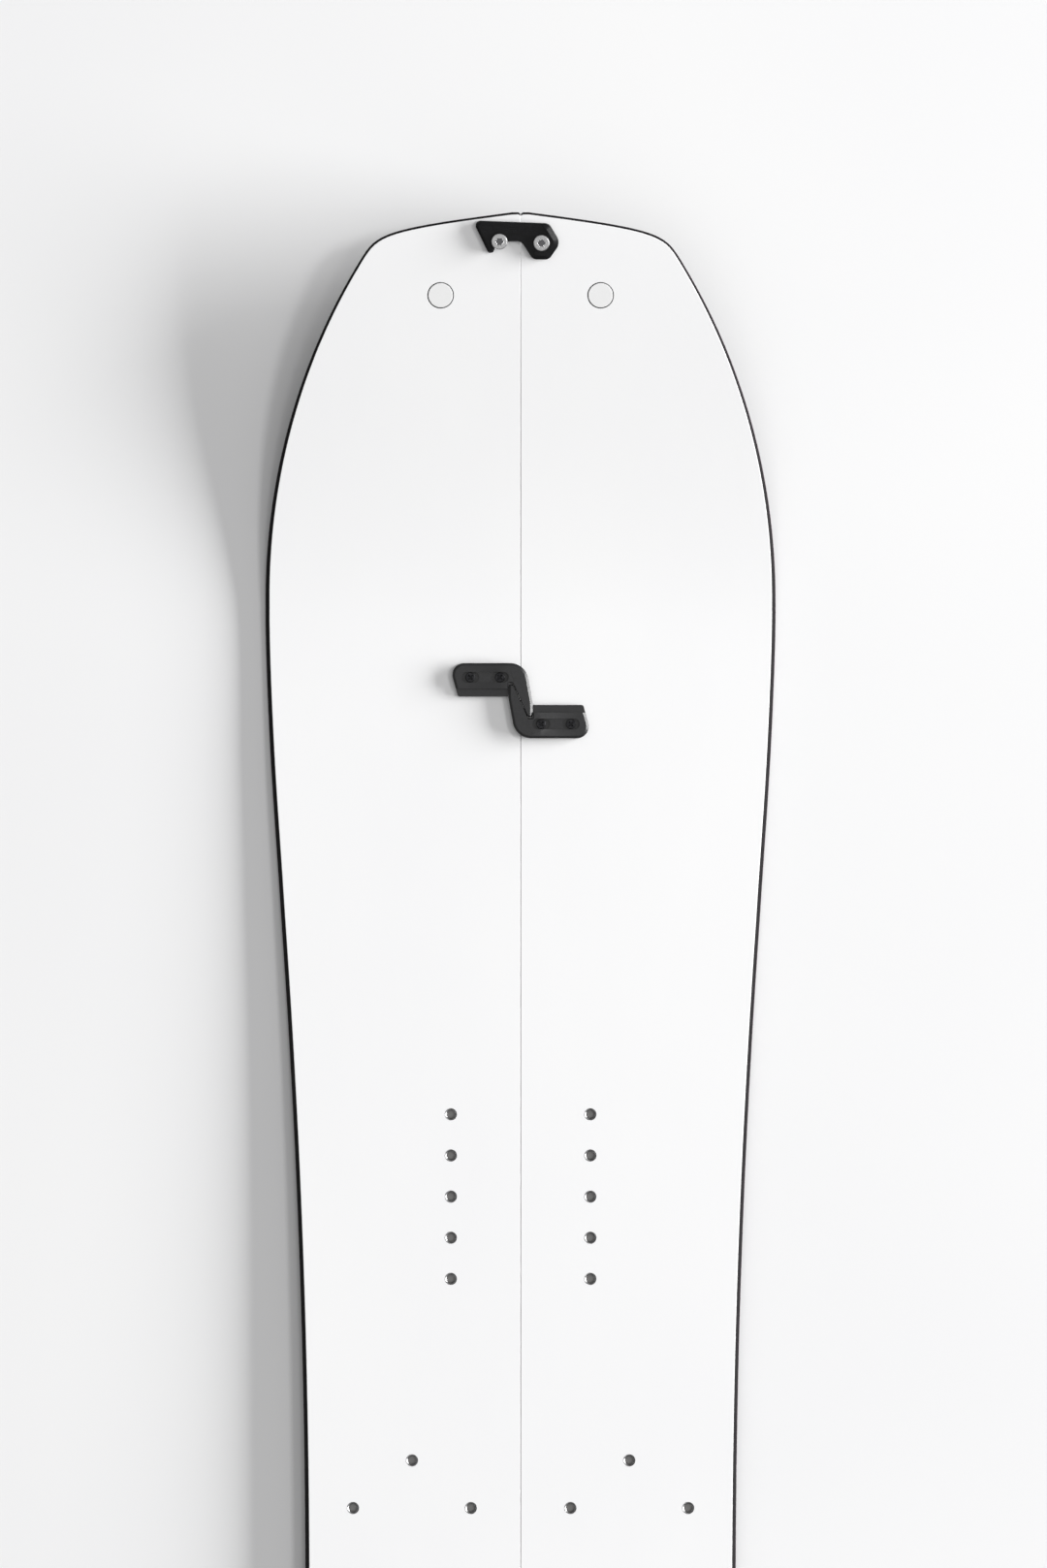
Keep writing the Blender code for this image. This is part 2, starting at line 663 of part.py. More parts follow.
def clip_outline(chamfered=False):
    """Turning clip, seen from above, about its pivot: its whole outline or, chamfered, that of
    its top face. Its slot is an arc round the pivot that opens downwards, and its upper end
    fits round the catch post."""
    post = Vector(POST_FROM_PIVOT)
    angle = math.degrees(math.atan2(post.y, post.x))
    room = POST_SHANK / 2 + POST_PLAY
    slot = arc((0, 0), post.length + room, angle + SLOT_RUN, angle, 2)
    slot += arc(POST_FROM_PIVOT, room, angle, angle - 180, 8)[1:]
    corners = [(post.x + x, post.y + y, radius) for x, y, radius in CLIP_FINGER]
    corners += [(x, y, 0) for x, y in slot]
    corners.append((CLIP_THROAT[0], post.y, CLIP_THROAT[1]))
    corners += CLIP_BODY
    x, y, radius = CLIP_TOP_CORNER
    corners.append((post.x + x, post.y + y, radius))
    tip, inside = FINGER_CHAMFERS
    insets = [tip] + [inside] * (len(slot) + 1) + list(CLIP_CHAMFERS)
    return rounded(corners, 20, insets if chamfered else None)


def bar_outline():
    """The clip's lower middle, between its two ends: out to an arc round the pivot that lets
    the clip turn out from under the post's head."""
    post = Vector(POST_FROM_PIVOT)
    reach = post.length + STEP_RADIUS
    return arc((0, 0), reach, 140, 225, 10) + list(STEP_SIDE)


def turning_clip(name, toward, halves):
    """Clip with its pivot screw on one half and its catch post on the other."""
    pivot_side, post_side = ("right", "left") if toward > 0 else ("left", "right")
    from_tip = PIVOT_FROM_END if toward > 0 else BOARD_LENGTH - PIVOT_FROM_END
    place = seat(toward * PIVOT_FROM_SEAM, y_at(from_tip), toward)
    low, high = CLIP_SEAT, CLIP_SEAT + CLIP_THICKNESS
    floor = high - CLIP_STEP
    above = high + CUT_PAST
    head = CLIP_HEAD_DIAMETER / 2
    body = prism(name, clip_outline(), low, high, clip_outline(chamfered=True), CLIP_STEP)
    clip = make_object(name + "_clip", body, FINISH["anodised"], place, halves[pivot_side])
    cut(clip, [(prism("step", bar_outline(), floor, above), place)])
    cut(clip, [(drill(head + CLEARANCE, floor, above), place)])
    cut(clip, [(drill(PIVOT_SHANK / 2 + CLEARANCE, -CUT_PAST, above), place)])
    smooth(clip)
    post_place = place @ Matrix.Translation((*POST_FROM_PIVOT, 0))
    socket, socket_depth = CLIP_SOCKET[0] / 2, CLIP_SOCKET[1]
    bottom = -CLIP_SCREW_DEPTH
    holes = {"left": [], "right": []}
    fasteners = ((name + "_clip_pivot", place, floor + CLEARANCE, PIVOT_SHANK / 2, pivot_side),
                 (name + "_catch_post", post_place, floor + POST_HEAD_LIFT, POST_SHANK / 2, post_side))
    for fastener, spot, under_head, shank, side_name in fasteners:
        top = under_head + CLIP_HEAD_HEIGHT
        shape = [(shank, bottom), (shank, under_head), (head, under_head),
                 (head, top - CLIP_HEAD_CHAMFER), (head - CLIP_HEAD_CHAMFER, top), (socket, top),
                 (socket, top - socket_depth)]
        mesh = turned(fastener, shape, sides=2 * HOLE_SIDES, socket=socket)
        smooth(make_object(fastener, mesh, FINISH["stainless"], spot, halves[side_name]))
        holes[side_name].append(fitting_holes(spot, shank, -bottom))
    return holes


# ---------------------------------------------------------------- build

for old in list(bpy.data.objects):
    bpy.data.objects.remove(old)

FINISH = {
    "base": material("base", (0.03, 0.03, 0.035), 0.45),
    "steel": material("steel", (0.30, 0.29, 0.29), 0.35, 1.0),
    "sidewall": material("sidewall", (0.02, 0.018, 0.02), 0.5),
    "core": material("core", (0.62, 0.46, 0.28), 0.7),
    "topsheet": material("topsheet", (0.93, 0.93, 0.93), 0.45),
    "stainless": material("stainless", (0.62, 0.62, 0.62), 0.3, 1.0),
    "nylon": material("nylon", (0.025, 0.025, 0.027), 0.5),
    "anodised": material("anodised", (0.02, 0.02, 0.022), 0.4, 0.6),
    "plug": material("plug", (0.85, 0.85, 0.85), 0.4),
}

halves = {}
for side_name in HALF:
    halves[side_name] = bpy.data.objects.new(side_name + "_half", None)
    bpy.context.scene.collection.objects.link(halves[side_name])

fittings = {"left": [], "right": []}
hook_lines = (("front", y_at(HOOK_FROM_TIP)), ("rear", y_at(BOARD_LENGTH - HOOK_FROM_TAIL)))
for pair_name, line in hook_lines:
    for side_name, holes in hook_pair(pair_name, line, halves).items():
        fittings[side_name] += holes
for clip_name, toward in (("tip", 1), ("tail", -1)):
    for side_name, holes in turning_clip(clip_name, toward, halves).items():
        fittings[side_name] += holes

for side_name, side in HALF.items():
    radius = INSERT_DIAMETER / 2
    for insert_name, spot in insert_places(side_name):
        tube = bushing("insert", radius, INSERT_BORE / 2, INSERT_HEIGHT, INSERT_CHAMFER)
        spot = spot @ Matrix.Translation((0, 0, -INSERT_DROP))
        smooth(make_object(insert_name, tube, FINISH["stainless"], spot, halves[side_name]))
        fittings[side_name].append(fitting_holes(spot, radius, INSERT_HEIGHT))
    plug_spot = seat(side * PLUG_FROM_SEAM, y_at(PLUG_FROM_TIP))
    radius = PLUG_DIAMETER / 2
    disc = turned("plug", [(radius, -PLUG_HEIGHT), (radius, 0)], sides=2 * HOLE_SIDES)
    smooth(make_object("tip_plug_" + side_name, disc, FINISH["plug"], plug_spot, halves[side_name]))
    wide = radius + PLUG_GROOVE
    plug_holes = [(turned("drill", [(wide, -depth), (wide, CUT_PAST)], sides=2 * HOLE_SIDES), plug_spot)
                  for depth in (TOPSHEET_THICKNESS + CLEARANCE, PLUG_HEIGHT + CLEARANCE)]
    fittings[side_name].append(tuple(plug_holes))
    sheet_holes = [pair[0] for pair in fittings[side_name]]
    core_holes = [pair[1] for pair in fittings[side_name]]
    laminate(side_name, halves[side_name], sheet_holes, core_holes)
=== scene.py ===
import math

import bmesh
import bpy
from mathutils import Matrix, Vector


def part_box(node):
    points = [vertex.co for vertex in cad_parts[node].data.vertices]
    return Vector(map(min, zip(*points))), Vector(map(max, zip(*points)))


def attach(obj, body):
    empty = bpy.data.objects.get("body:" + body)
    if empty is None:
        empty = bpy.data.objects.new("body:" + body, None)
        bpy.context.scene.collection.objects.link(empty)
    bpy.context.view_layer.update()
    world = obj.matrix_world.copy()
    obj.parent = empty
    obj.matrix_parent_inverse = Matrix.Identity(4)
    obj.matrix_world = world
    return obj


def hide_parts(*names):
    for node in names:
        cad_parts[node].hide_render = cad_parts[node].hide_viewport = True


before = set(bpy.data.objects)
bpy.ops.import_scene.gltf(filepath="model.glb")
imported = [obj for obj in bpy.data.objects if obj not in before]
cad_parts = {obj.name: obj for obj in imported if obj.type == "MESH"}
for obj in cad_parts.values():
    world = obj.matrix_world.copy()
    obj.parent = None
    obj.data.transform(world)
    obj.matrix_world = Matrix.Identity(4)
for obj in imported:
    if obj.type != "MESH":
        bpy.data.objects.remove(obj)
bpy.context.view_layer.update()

# ------------------------------------------------------------------ running bases
# Sintered polyethylene sheets, 1.8 mm thick, glued under each half inside its steel edge. They
# are stone ground, which leaves fine lines along the board and a slightly cloudy black.

HALVES = {"left": -1, "right": 1}
RUNG = 0.003            # distance between the points along the outline
TIP_CORNER = 0.0008     # the ends are nipped off where they meet the seam
BASE_RIM = 0.0001
SEAM_STEP = 0.00002     # between the seam's points where they gather at an end
SEAM_BAND = 0.0003      # the deck's height is read this near the seam
SMOOTH_BELOW = 20       # degrees; steeper edges are shaded sharp


def linear(hex_colour):
    """Linear colour of an sRGB hex string."""
    parts = [int(hex_colour[i:i + 2], 16) / 255 for i in (1, 3, 5)]
    return [c / 12.92 if c <= 0.04045 else ((c + 0.055) / 1.055) ** 2.4 for c in parts] + [1.0]


def add(material, kind, inputs=None, **settings):
    """Adds a shader node. Each input is a value or another node's output."""
    made = material.node_tree.nodes.new(kind)
    for name, value in settings.items():
        setattr(made, name, value)
    for name, value in (inputs or {}).items():
        if isinstance(value, bpy.types.NodeSocket):
            material.node_tree.links.new(value, made.inputs[name])
        else:
            made.inputs[name].default_value = value
    return made


def finish_of(name, colour, roughness, metallic=0.0):
    """New material, with its colour, roughness and metallic set on the shader itself."""
    made = bpy.data.materials.new(name)
    made.use_nodes = True
    shader = made.node_tree.nodes["Principled BSDF"]
    shader.inputs["Base Color"].default_value = linear(colour)
    shader.inputs["Roughness"].default_value = roughness
    shader.inputs["Metallic"].default_value = metallic
    return made


def grain(material, size, detail, attribute=None):
    """Noise with grains of the given size in metres along X, Y and Z, from 0 to 1."""
    if attribute:
        place = add(material, "ShaderNodeAttribute", attribute_name=attribute).outputs["Vector"]
    else:
        place = add(material, "ShaderNodeTexCoord").outputs["Object"]
    stretch = add(material, "ShaderNodeMapping", {"Vector": place, "Scale": [1 / s for s in size]})
    noise = add(material, "ShaderNodeTexNoise", {"Vector": stretch.outputs["Vector"], "Scale": 1.0,
                                                "Detail": detail})
    return noise.outputs["Fac"]


def shader_of(material):
    return material.node_tree.nodes["Principled BSDF"]


def vary_roughness(material, pattern, low, high):
    spread = add(material, "ShaderNodeMapRange", {"Value": pattern, "From Min": 0.3, "From Max": 0.7,
                                                 "To Min": low, "To Max": high})
    material.node_tree.links.new(spread.outputs["Result"], shader_of(material).inputs["Roughness"])


def vary_colour(material, pattern, one, other):
    mix = add(material, "ShaderNodeMix", data_type="RGBA", clamp_factor=True)
    mix.inputs[6].default_value = linear(one)
    mix.inputs[7].default_value = linear(other)
    spread = add(material, "ShaderNodeMapRange", {"Value": pattern, "From Min": 0.3, "From Max": 0.7})
    material.node_tree.links.new(spread.outputs["Result"], mix.inputs[0])
    material.node_tree.links.new(mix.outputs[2], shader_of(material).inputs["Base Color"])


def emboss(material, pattern, height):
    """Raises the surface by the pattern, to a height in metres."""
    bump = add(material, "ShaderNodeBump", {"Height": pattern, "Strength": 1.0, "Distance": height})
    material.node_tree.links.new(bump.outputs["Normal"], shader_of(material).inputs["Normal"])


def rungs(node, reach):
    """The lines of a CAD sheet across the board, tip first: y, largest x, lowest and highest z."""
    rows = {}
    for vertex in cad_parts[node].data.vertices:
        if abs(vertex.co.x) < reach:
            rows.setdefault(round(vertex.co.y, 5), []).append(vertex.co)
    return [(y, max(p.x for p in row), min(p.z for p in row), max(p.z for p in row))
            for y, row in sorted(rows.items(), reverse=True)]


def curve_through(pairs):
    """A smooth curve through (place, value) pairs, as a function of the place."""
    pairs = sorted(pairs)
    steps = [(b[1] - a[1]) / (b[0] - a[0]) for a, b in zip(pairs, pairs[1:])]
    slopes = [steps[0]] + [(a + b) / 2 for a, b in zip(steps, steps[1:])] + [steps[-1]]

    def read(place):
        i = 0
        while i < len(pairs) - 2 and place > pairs[i + 1][0]:
            i += 1
        (a, from_value), (b, to_value) = pairs[i], pairs[i + 1]
        run = b - a
        if place < a or place > b:
            end = i if place < a else i + 1
            return pairs[end][1] + slopes[end] * (place - pairs[end][0])
        t = (place - a) / run
        return (from_value * (1 + 2 * t) * (1 - t) ** 2 + slopes[i] * run * t * (1 - t) ** 2
                + to_value * t * t * (3 - 2 * t) + slopes[i + 1] * run * t * t * (t - 1))
    return read


def flowing(points, step):
    """Points about a step apart on a smooth curve through the given ones."""
    runs = [0.0]
    for a, b in zip(points, points[1:]):
        runs.append(runs[-1] + math.dist(a, b))
    axes = [curve_through(list(zip(runs, values))) for values in zip(*points)]
    count = round(runs[-1] / step)
    return [tuple(axis(runs[-1] * i / count) for axis in axes) for i in range(count + 1)]


base_rows = rungs("base_right", 1)
cover_rows = rungs("topsheet_right", SEAM_BAND)
underside = curve_through([(y, low) for y, _, low, _ in base_rows])
base_top = curve_through([(y, high) for y, _, _, high in base_rows])
cover_bottom = curve_through([(y, low) for y, _, low, _ in cover_rows])
deck = curve_through([(y, high) for y, _, _, high in cover_rows])
base_box, edge_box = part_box("base_right"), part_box("steel_edge_right")
seam_x = edge_box[0].x
edge_width = edge_box[1].x - base_box[1].x
BASE_LINE = flowing([(x, y) for y, x, _, _ in base_rows], RUNG)


def outline(inset):
    """Outer side of the right half from the tip to the tail, inset from the steel edge's side.
    inset may be a function of the place along the board."""
    last = len(BASE_LINE) - 1
    line = []
    for i, (x, y) in enumerate(BASE_LINE):
        out = edge_width - (inset(y) if callable(inset) else inset)
        if i in (0, last):
            line.append((x, y + out if i == 0 else y - out))
            continue
        (ax, ay), (bx, by) = BASE_LINE[i - 1], BASE_LINE[i + 1]
        run = math.hypot(bx - ax, by - ay)
        line.append((x + out * (ay - by) / run, y + out * (bx - ax) / run))
    start, end = line[0], line[-1]
    nip = seam_x + 1.5 * TIP_CORNER
    return [(nip, start[1])] + line + [(nip, end[1])]


def ring(side, inset, from_seam, height):
    """Closed path round one half: down its outer side and back up the seam."""
    outer = outline(inset)
    top, bottom = outer[0][1] - TIP_CORNER, outer[-1][1] + TIP_CORNER
    path = [(side * x, y, height(y)) for x, y in outer]
    for i in reversed(range(len(outer))):
        y = max(min(outer[i][1], top - i * SEAM_STEP), bottom + (len(outer) - 1 - i) * SEAM_STEP)
        path.append((side * (seam_x + from_seam), y, height(y)))
    return path


def skin(name, loops, sheet):
    """Closed mesh over loops of equal length. A sheet is closed across its first and last loop;
    otherwise the last loop joins the first."""
    count = len(loops[0])
    points = [p for loop in loops for p in loop]
    faces = []
    for k in range(len(loops) - (1 if sheet else 0)):
        m = (k + 1) % len(loops)
        for i in range(count):
            j = (i + 1) % count
            faces.append((k * count + i, k * count + j, m * count + j, m * count + i))
    if sheet:
        for start in (0, (len(loops) - 1) * count):
            for i in range(count // 2 - 1):
                faces.append((start + i, start + i + 1, start + count - 2 - i, start + count - 1 - i))
    return closed(name, points, faces)


def closed(name, points, faces):
    """Mesh of the faces, its normals turned outwards and its gentle edges shaded smooth."""
    mesh = bpy.data.meshes.new(name)
    mesh.from_pydata(points, [], faces)
    shaped = bmesh.new()
    shaped.from_mesh(mesh)
    bmesh.ops.recalc_face_normals(shaped, faces=shaped.faces[:])
    shaped.to_mesh(mesh)
    shaped.free()
    mesh.shade_smooth()
    mesh.set_sharp_from_angle(angle=math.radians(SMOOTH_BELOW))
    return mesh


def show(name, mesh, material, body, slot, *nodes):
    """Puts a finished mesh in the scene, on its body, in place of its CAD nodes."""
    piece = bpy.data.objects.new(name, mesh)
    bpy.context.scene.collection.objects.link(piece)
    if material:
        mesh.materials.clear()
        mesh.materials.append(material)
    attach(piece, body)
    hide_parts(*nodes)


ground_black = finish_of("stone_ground_polyethylene", "#1d1e21", 0.42)
cloud = grain(ground_black, (0.030, 0.090, 0.030), 3)
vary_colour(ground_black, cloud, "#18191c", "#232428")
grind = grain(ground_black, (0.0004, 0.060, 0.0004), 1)
vary_roughness(ground_black, grind, 0.34, 0.52)
emboss(ground_black, grind, 0.00002)

for half, side in HALVES.items():
    gap = base_box[0].x - seam_x
    loops = [ring(side, edge_width + BASE_RIM, gap + BASE_RIM, underside),
             ring(side, edge_width, gap, lambda y: underside(y) + BASE_RIM),
             ring(side, edge_width, gap, base_top)]
    show("ground_base_" + half, skin("ground_base_" + half, loops, True), ground_black,
         half + "_half", "running_base", "base_" + half)

# ------------------------------------------------------------------ steel edges
# Hardened steel strip, 2 mm wide and 1.8 mm high, bent right round each half and bonded between
# base and sidewall. It is ground on its side and underside, and its top corner is broken.

STEEL_WIDTH = 0.0020
EDGE_BREAK = 0.00015

edge_steel = finish_of("ground_edge_steel", "#3a3336", 0.42, 1.0)
scratches = grain(edge_steel, (0.00012, 0.012, 0.00012), 2)
vary_roughness(edge_steel, scratches, 0.34, 0.54)
vary_colour(edge_steel, grain(edge_steel, (0.02, 0.05, 0.02), 3), "#40383c", "#564d52")
emboss(edge_steel, scratches, 0.000006)

for half, side in HALVES.items():
    loops = [ring(side, EDGE_BREAK, EDGE_BREAK, underside),
             ring(side, 0, 0, lambda y: underside(y) + EDGE_BREAK),
             ring(side, 0, 0, lambda y: base_top(y) - EDGE_BREAK),
             ring(side, EDGE_BREAK, EDGE_BREAK, base_top),
             ring(side, STEEL_WIDTH, STEEL_WIDTH, base_top),
             ring(side, STEEL_WIDTH, STEEL_WIDTH, underside)]
    show("ground_edge_" + half, skin("ground_edge_" + half, loops, False), edge_steel,
         half + "_half", "edge_steel", "steel_edge_" + half)

# ------------------------------------------------------------------ sidewalls
# Black ABS strip round each half, between base and topsheet. Its outer side is milled to lean
# inwards, which leaves fine cutter lines along the board and a satin face.

WALL_FOOT = 0.00015
WALL_WIDTH = 0.0080
SEAM_WALL = 0.0035
JOINT_GAP = 0.0003
WALL_BREAK = 0.0002
NARROW_RUN = 0.028      # from each end, where the bare sidewall is narrowest

cover_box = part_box("topsheet_right")
side_inset = edge_box[1].x - cover_box[1].x
end_inset = edge_box[1].y - cover_box[1].y
nose_run = edge_box[1].y - max(rungs("topsheet_right", 1), key=lambda row: row[1])[0]


def cover_inset(y):
    """Width of bare sidewall round the topsheet: narrower at the ends than along the sides."""
    from_end = min(edge_box[1].y - y, y - edge_box[0].y)
    share = min(max((from_end - NARROW_RUN) / (nose_run - NARROW_RUN), 0), 1)
    return end_inset + (side_inset - end_inset) * share


def wall_bottom(y):
    return base_top(y) + JOINT_GAP


def wall_top(y):
    return cover_bottom(y) - JOINT_GAP


milled_black = finish_of("milled_black_sidewall", "#0b090b", 0.6)
shader_of(milled_black).inputs["Specular IOR Level"].default_value = 0.12
cutter_lines = grain(milled_black, (0.0003, 0.030, 0.0003), 2)
vary_roughness(milled_black, cutter_lines, 0.52, 0.70)
vary_colour(milled_black, grain(milled_black, (0.006, 0.020, 0.006), 3), "#090709", "#0f0c0f")
emboss(milled_black, cutter_lines, 0.000015)

for half, side in HALVES.items():
    loops = [ring(side, WALL_FOOT, 0, wall_bottom),
             ring(side, lambda y: cover_inset(y) - WALL_BREAK, 0, lambda y: wall_top(y) - WALL_BREAK),
             ring(side, cover_inset, WALL_BREAK, wall_top),
             ring(side, WALL_WIDTH, SEAM_WALL, wall_top),
             ring(side, WALL_WIDTH, SEAM_WALL, wall_bottom)]
    show("milled_sidewall_" + half, skin("milled_sidewall_" + half, loops, False), milled_black,
         half + "_half", "sidewall", "sidewall_" + half)

# ------------------------------------------------------------------ wood cores
# Vertically laminated poplar and paulownia strips, planed to the board's thickness. They are
# closed in by the other layers and are seen only down the holes of the fittings.

STRIP_WIDTH = 0.012

poplar = finish_of("planed_poplar", "#c8a878", 0.6)
fibres = grain(poplar, (0.0012, 0.080, 0.0012), 4)
strips = grain(poplar, (STRIP_WIDTH, 4.0, 4.0), 0)
vary_colour(poplar, strips, "#b8935f", "#d6bc90")
vary_roughness(poplar, fibres, 0.5, 0.75)
emboss(poplar, fibres, 0.00005)
for half in HALVES:
    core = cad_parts["core_" + half]
    core.data.materials.clear()
    core.data.materials.append(poplar)

# ------------------------------------------------------------------ topsheets
# White polyamide film, 0.8 mm thick, bonded over each half and trimmed back from the milled
# sidewall. Satin, with a faint orange peel, and drilled where each fitting goes in.

FILM_RIM = 0.00025
ROUND_SIDES = 48
SLOPE_SPAN = 0.012      # the deck's slope is taken over this far either way
DRILL_DEPTH = 0.003
INSERT_HOLE = 0.00376       # radius
PLUG_HOLE = 0.0082
SCREW_HOLE = 0.0023
CLIP_HOLE = 0.0028
CLIP_HEAD_MIDDLE = 0.0044   # of a clip screw's head, above the deck


def uphill(y, span=SLOPE_SPAN):
    """Angle of the deck along the board."""
    return math.atan2(deck(y + span) - deck(y - span), 2 * span)


def seat(x, y, toward, span=SLOPE_SPAN):
    """Place on the deck at x, y: Y points uphill along the board, Z stands square to it."""
    turn = Matrix.Rotation(uphill(y, span), 4, "X")
    if toward < 0:
        turn = turn @ Matrix.Rotation(math.pi, 4, "Z")
    return Matrix.Translation((x, y, deck(y))) @ turn


def seat_of(node, toward, widest=None):
    """Place where a round fitting's axis comes out of the deck. widest is the height of its
    broadest part, where that isn't at its middle."""
    low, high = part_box(node)
    middle = (low + high) / 2
    lean = uphill(middle.y)
    rise = (middle.z - deck(middle.y)) * math.cos(lean) if widest is None else widest
    return seat(middle.x, middle.y + rise * math.sin(lean), toward)


def turned(name, profile, sides=ROUND_SIDES):
    """Solid turned about Z from (radius, height, lobes, depth) rings, from the bottom centre to
    the top centre. Lobes and depth, where given, ripple the ring."""
    points, faces = [], []
    for radius, height, *ripple in profile:
        lobes, depth = ripple or (0, 0)
        for i in range(sides):
            angle = 2 * math.pi * i / sides
            reach = radius + depth * math.cos(lobes * angle)
            points.append((reach * math.cos(angle), reach * math.sin(angle), height))
    for k in range(len(profile) - 1):
        for i in range(sides):
            j = (i + 1) % sides
            faces.append((k * sides + i, k * sides + j, (k + 1) * sides + j, (k + 1) * sides + i))
    faces.append(tuple(reversed(range(sides))))
    faces.append(tuple(range((len(profile) - 1) * sides, len(profile) * sides)))
    return closed(name, points, faces)


def joined(meshes):
    """One mesh of several (mesh, place) pairs."""
    whole = bmesh.new()
    for mesh, place in meshes:
        placed = mesh.copy()
        placed.transform(place)
        whole.from_mesh(placed)
        bpy.data.meshes.remove(placed)
    made = bpy.data.meshes.new("joined")
    whole.to_mesh(made)
    whole.free()
    return made


def shaped_by(mesh, kind, **settings):
    """Result of one modifier on a mesh."""
    worker = bpy.data.objects.new("worker", mesh)
    bpy.context.scene.collection.objects.link(worker)
    modifier = worker.modifiers.new("shape", kind)
    for name, value in settings.items():
        setattr(modifier, name, value)
    bpy.context.view_layer.update()
    seen = worker.evaluated_get(bpy.context.evaluated_depsgraph_get())
    result = bpy.data.meshes.new_from_object(seen)
    bpy.data.objects.remove(worker)
    return result


def carved(mesh, cutters):
    """The mesh less (mesh, place) cutters that don't touch each other."""
    cutter = bpy.data.objects.new("cutter", joined(cutters))
    bpy.context.scene.collection.objects.link(cutter)
    result = shaped_by(mesh, "BOOLEAN", operation="DIFFERENCE", solver="EXACT", object=cutter)
    bpy.data.objects.remove(cutter)
    result.shade_smooth()
    result.set_sharp_from_angle(angle=math.radians(SMOOTH_BELOW))
    return result


satin_white = finish_of("satin_white_polyamide", "#f4f4f4", 0.42)
peel = grain(satin_white, (0.0024, 0.0024, 0.0024), 2)
scuffs = grain(satin_white, (0.012, 0.050, 0.012), 6)
vary_roughness(satin_white, scuffs, 0.36, 0.50)
vary_colour(satin_white, grain(satin_white, (0.25, 0.40, 0.25), 3), "#f2f2f3", "#f6f6f6")
emboss(satin_white, peel, 0.000012)

NODES = sorted(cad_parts)
CLIP_SCREWS = {"tip_clip_pivot": "right", "tip_catch_post": "left",
               "tail_clip_pivot": "left", "tail_catch_post": "right"}
for half, side in HALVES.items():
    seam_rim = FILM_RIM / 2
    loops = [ring(side, cover_inset, 0, cover_bottom),
             ring(side, cover_inset, 0, lambda y: deck(y) - FILM_RIM),
             ring(side, lambda y: cover_inset(y) + FILM_RIM * 0.3, seam_rim * 0.3,
                  lambda y: deck(y) - FILM_RIM * 0.3),
             ring(side, lambda y: cover_inset(y) + FILM_RIM, seam_rim, deck)]
    film = skin("white_topsheet_" + half, loops, True)
    drills = []
    for node in NODES:
        if node.startswith("insert_") and half in node:
            drills.append((node, INSERT_HOLE, None))
        elif node == "tip_plug_" + half:
            drills.append((node, PLUG_HOLE, None))
        elif node.startswith("hook_screw_") and half in node:
            drills.append((node, SCREW_HOLE, None))
        elif CLIP_SCREWS.get(node) == half:
            drills.append((node, CLIP_HOLE, CLIP_HEAD_MIDDLE))
    cutters = [(turned("drill", [(radius, -DRILL_DEPTH), (radius, DRILL_DEPTH)]), seat_of(node, 1, widest))
               for node, radius, widest in drills]
    show("white_topsheet_" + half, carved(film, cutters), satin_white, half + "_half", "topsheet",
         "topsheet_" + half)

# ------------------------------------------------------------------ threaded inserts
# Stainless steel M6 inserts, pressed into the core before the halves are laminated. Each has a
# broken rim just under the deck, a countersunk mouth and a blind threaded bore.

INSERT_RIM = 0.0004
INSERT_DROP = 0.0002        # of its rim, below the deck
THREAD_PITCH = 0.0010
THREAD_CREST = 0.00262      # radius
THREAD_ROOT = 0.0030
MOUTH = 0.00325
TURNS = 4
INSERT_SIDES = 36


def marked(mesh):
    """Keeps each point's own place on the mesh as an attribute, for marks that follow its axis."""
    own = mesh.attributes.new("own_place", "FLOAT_VECTOR", "POINT")
    own.data.foreach_set("vector", [c for v in mesh.vertices for c in v.co])
    return mesh


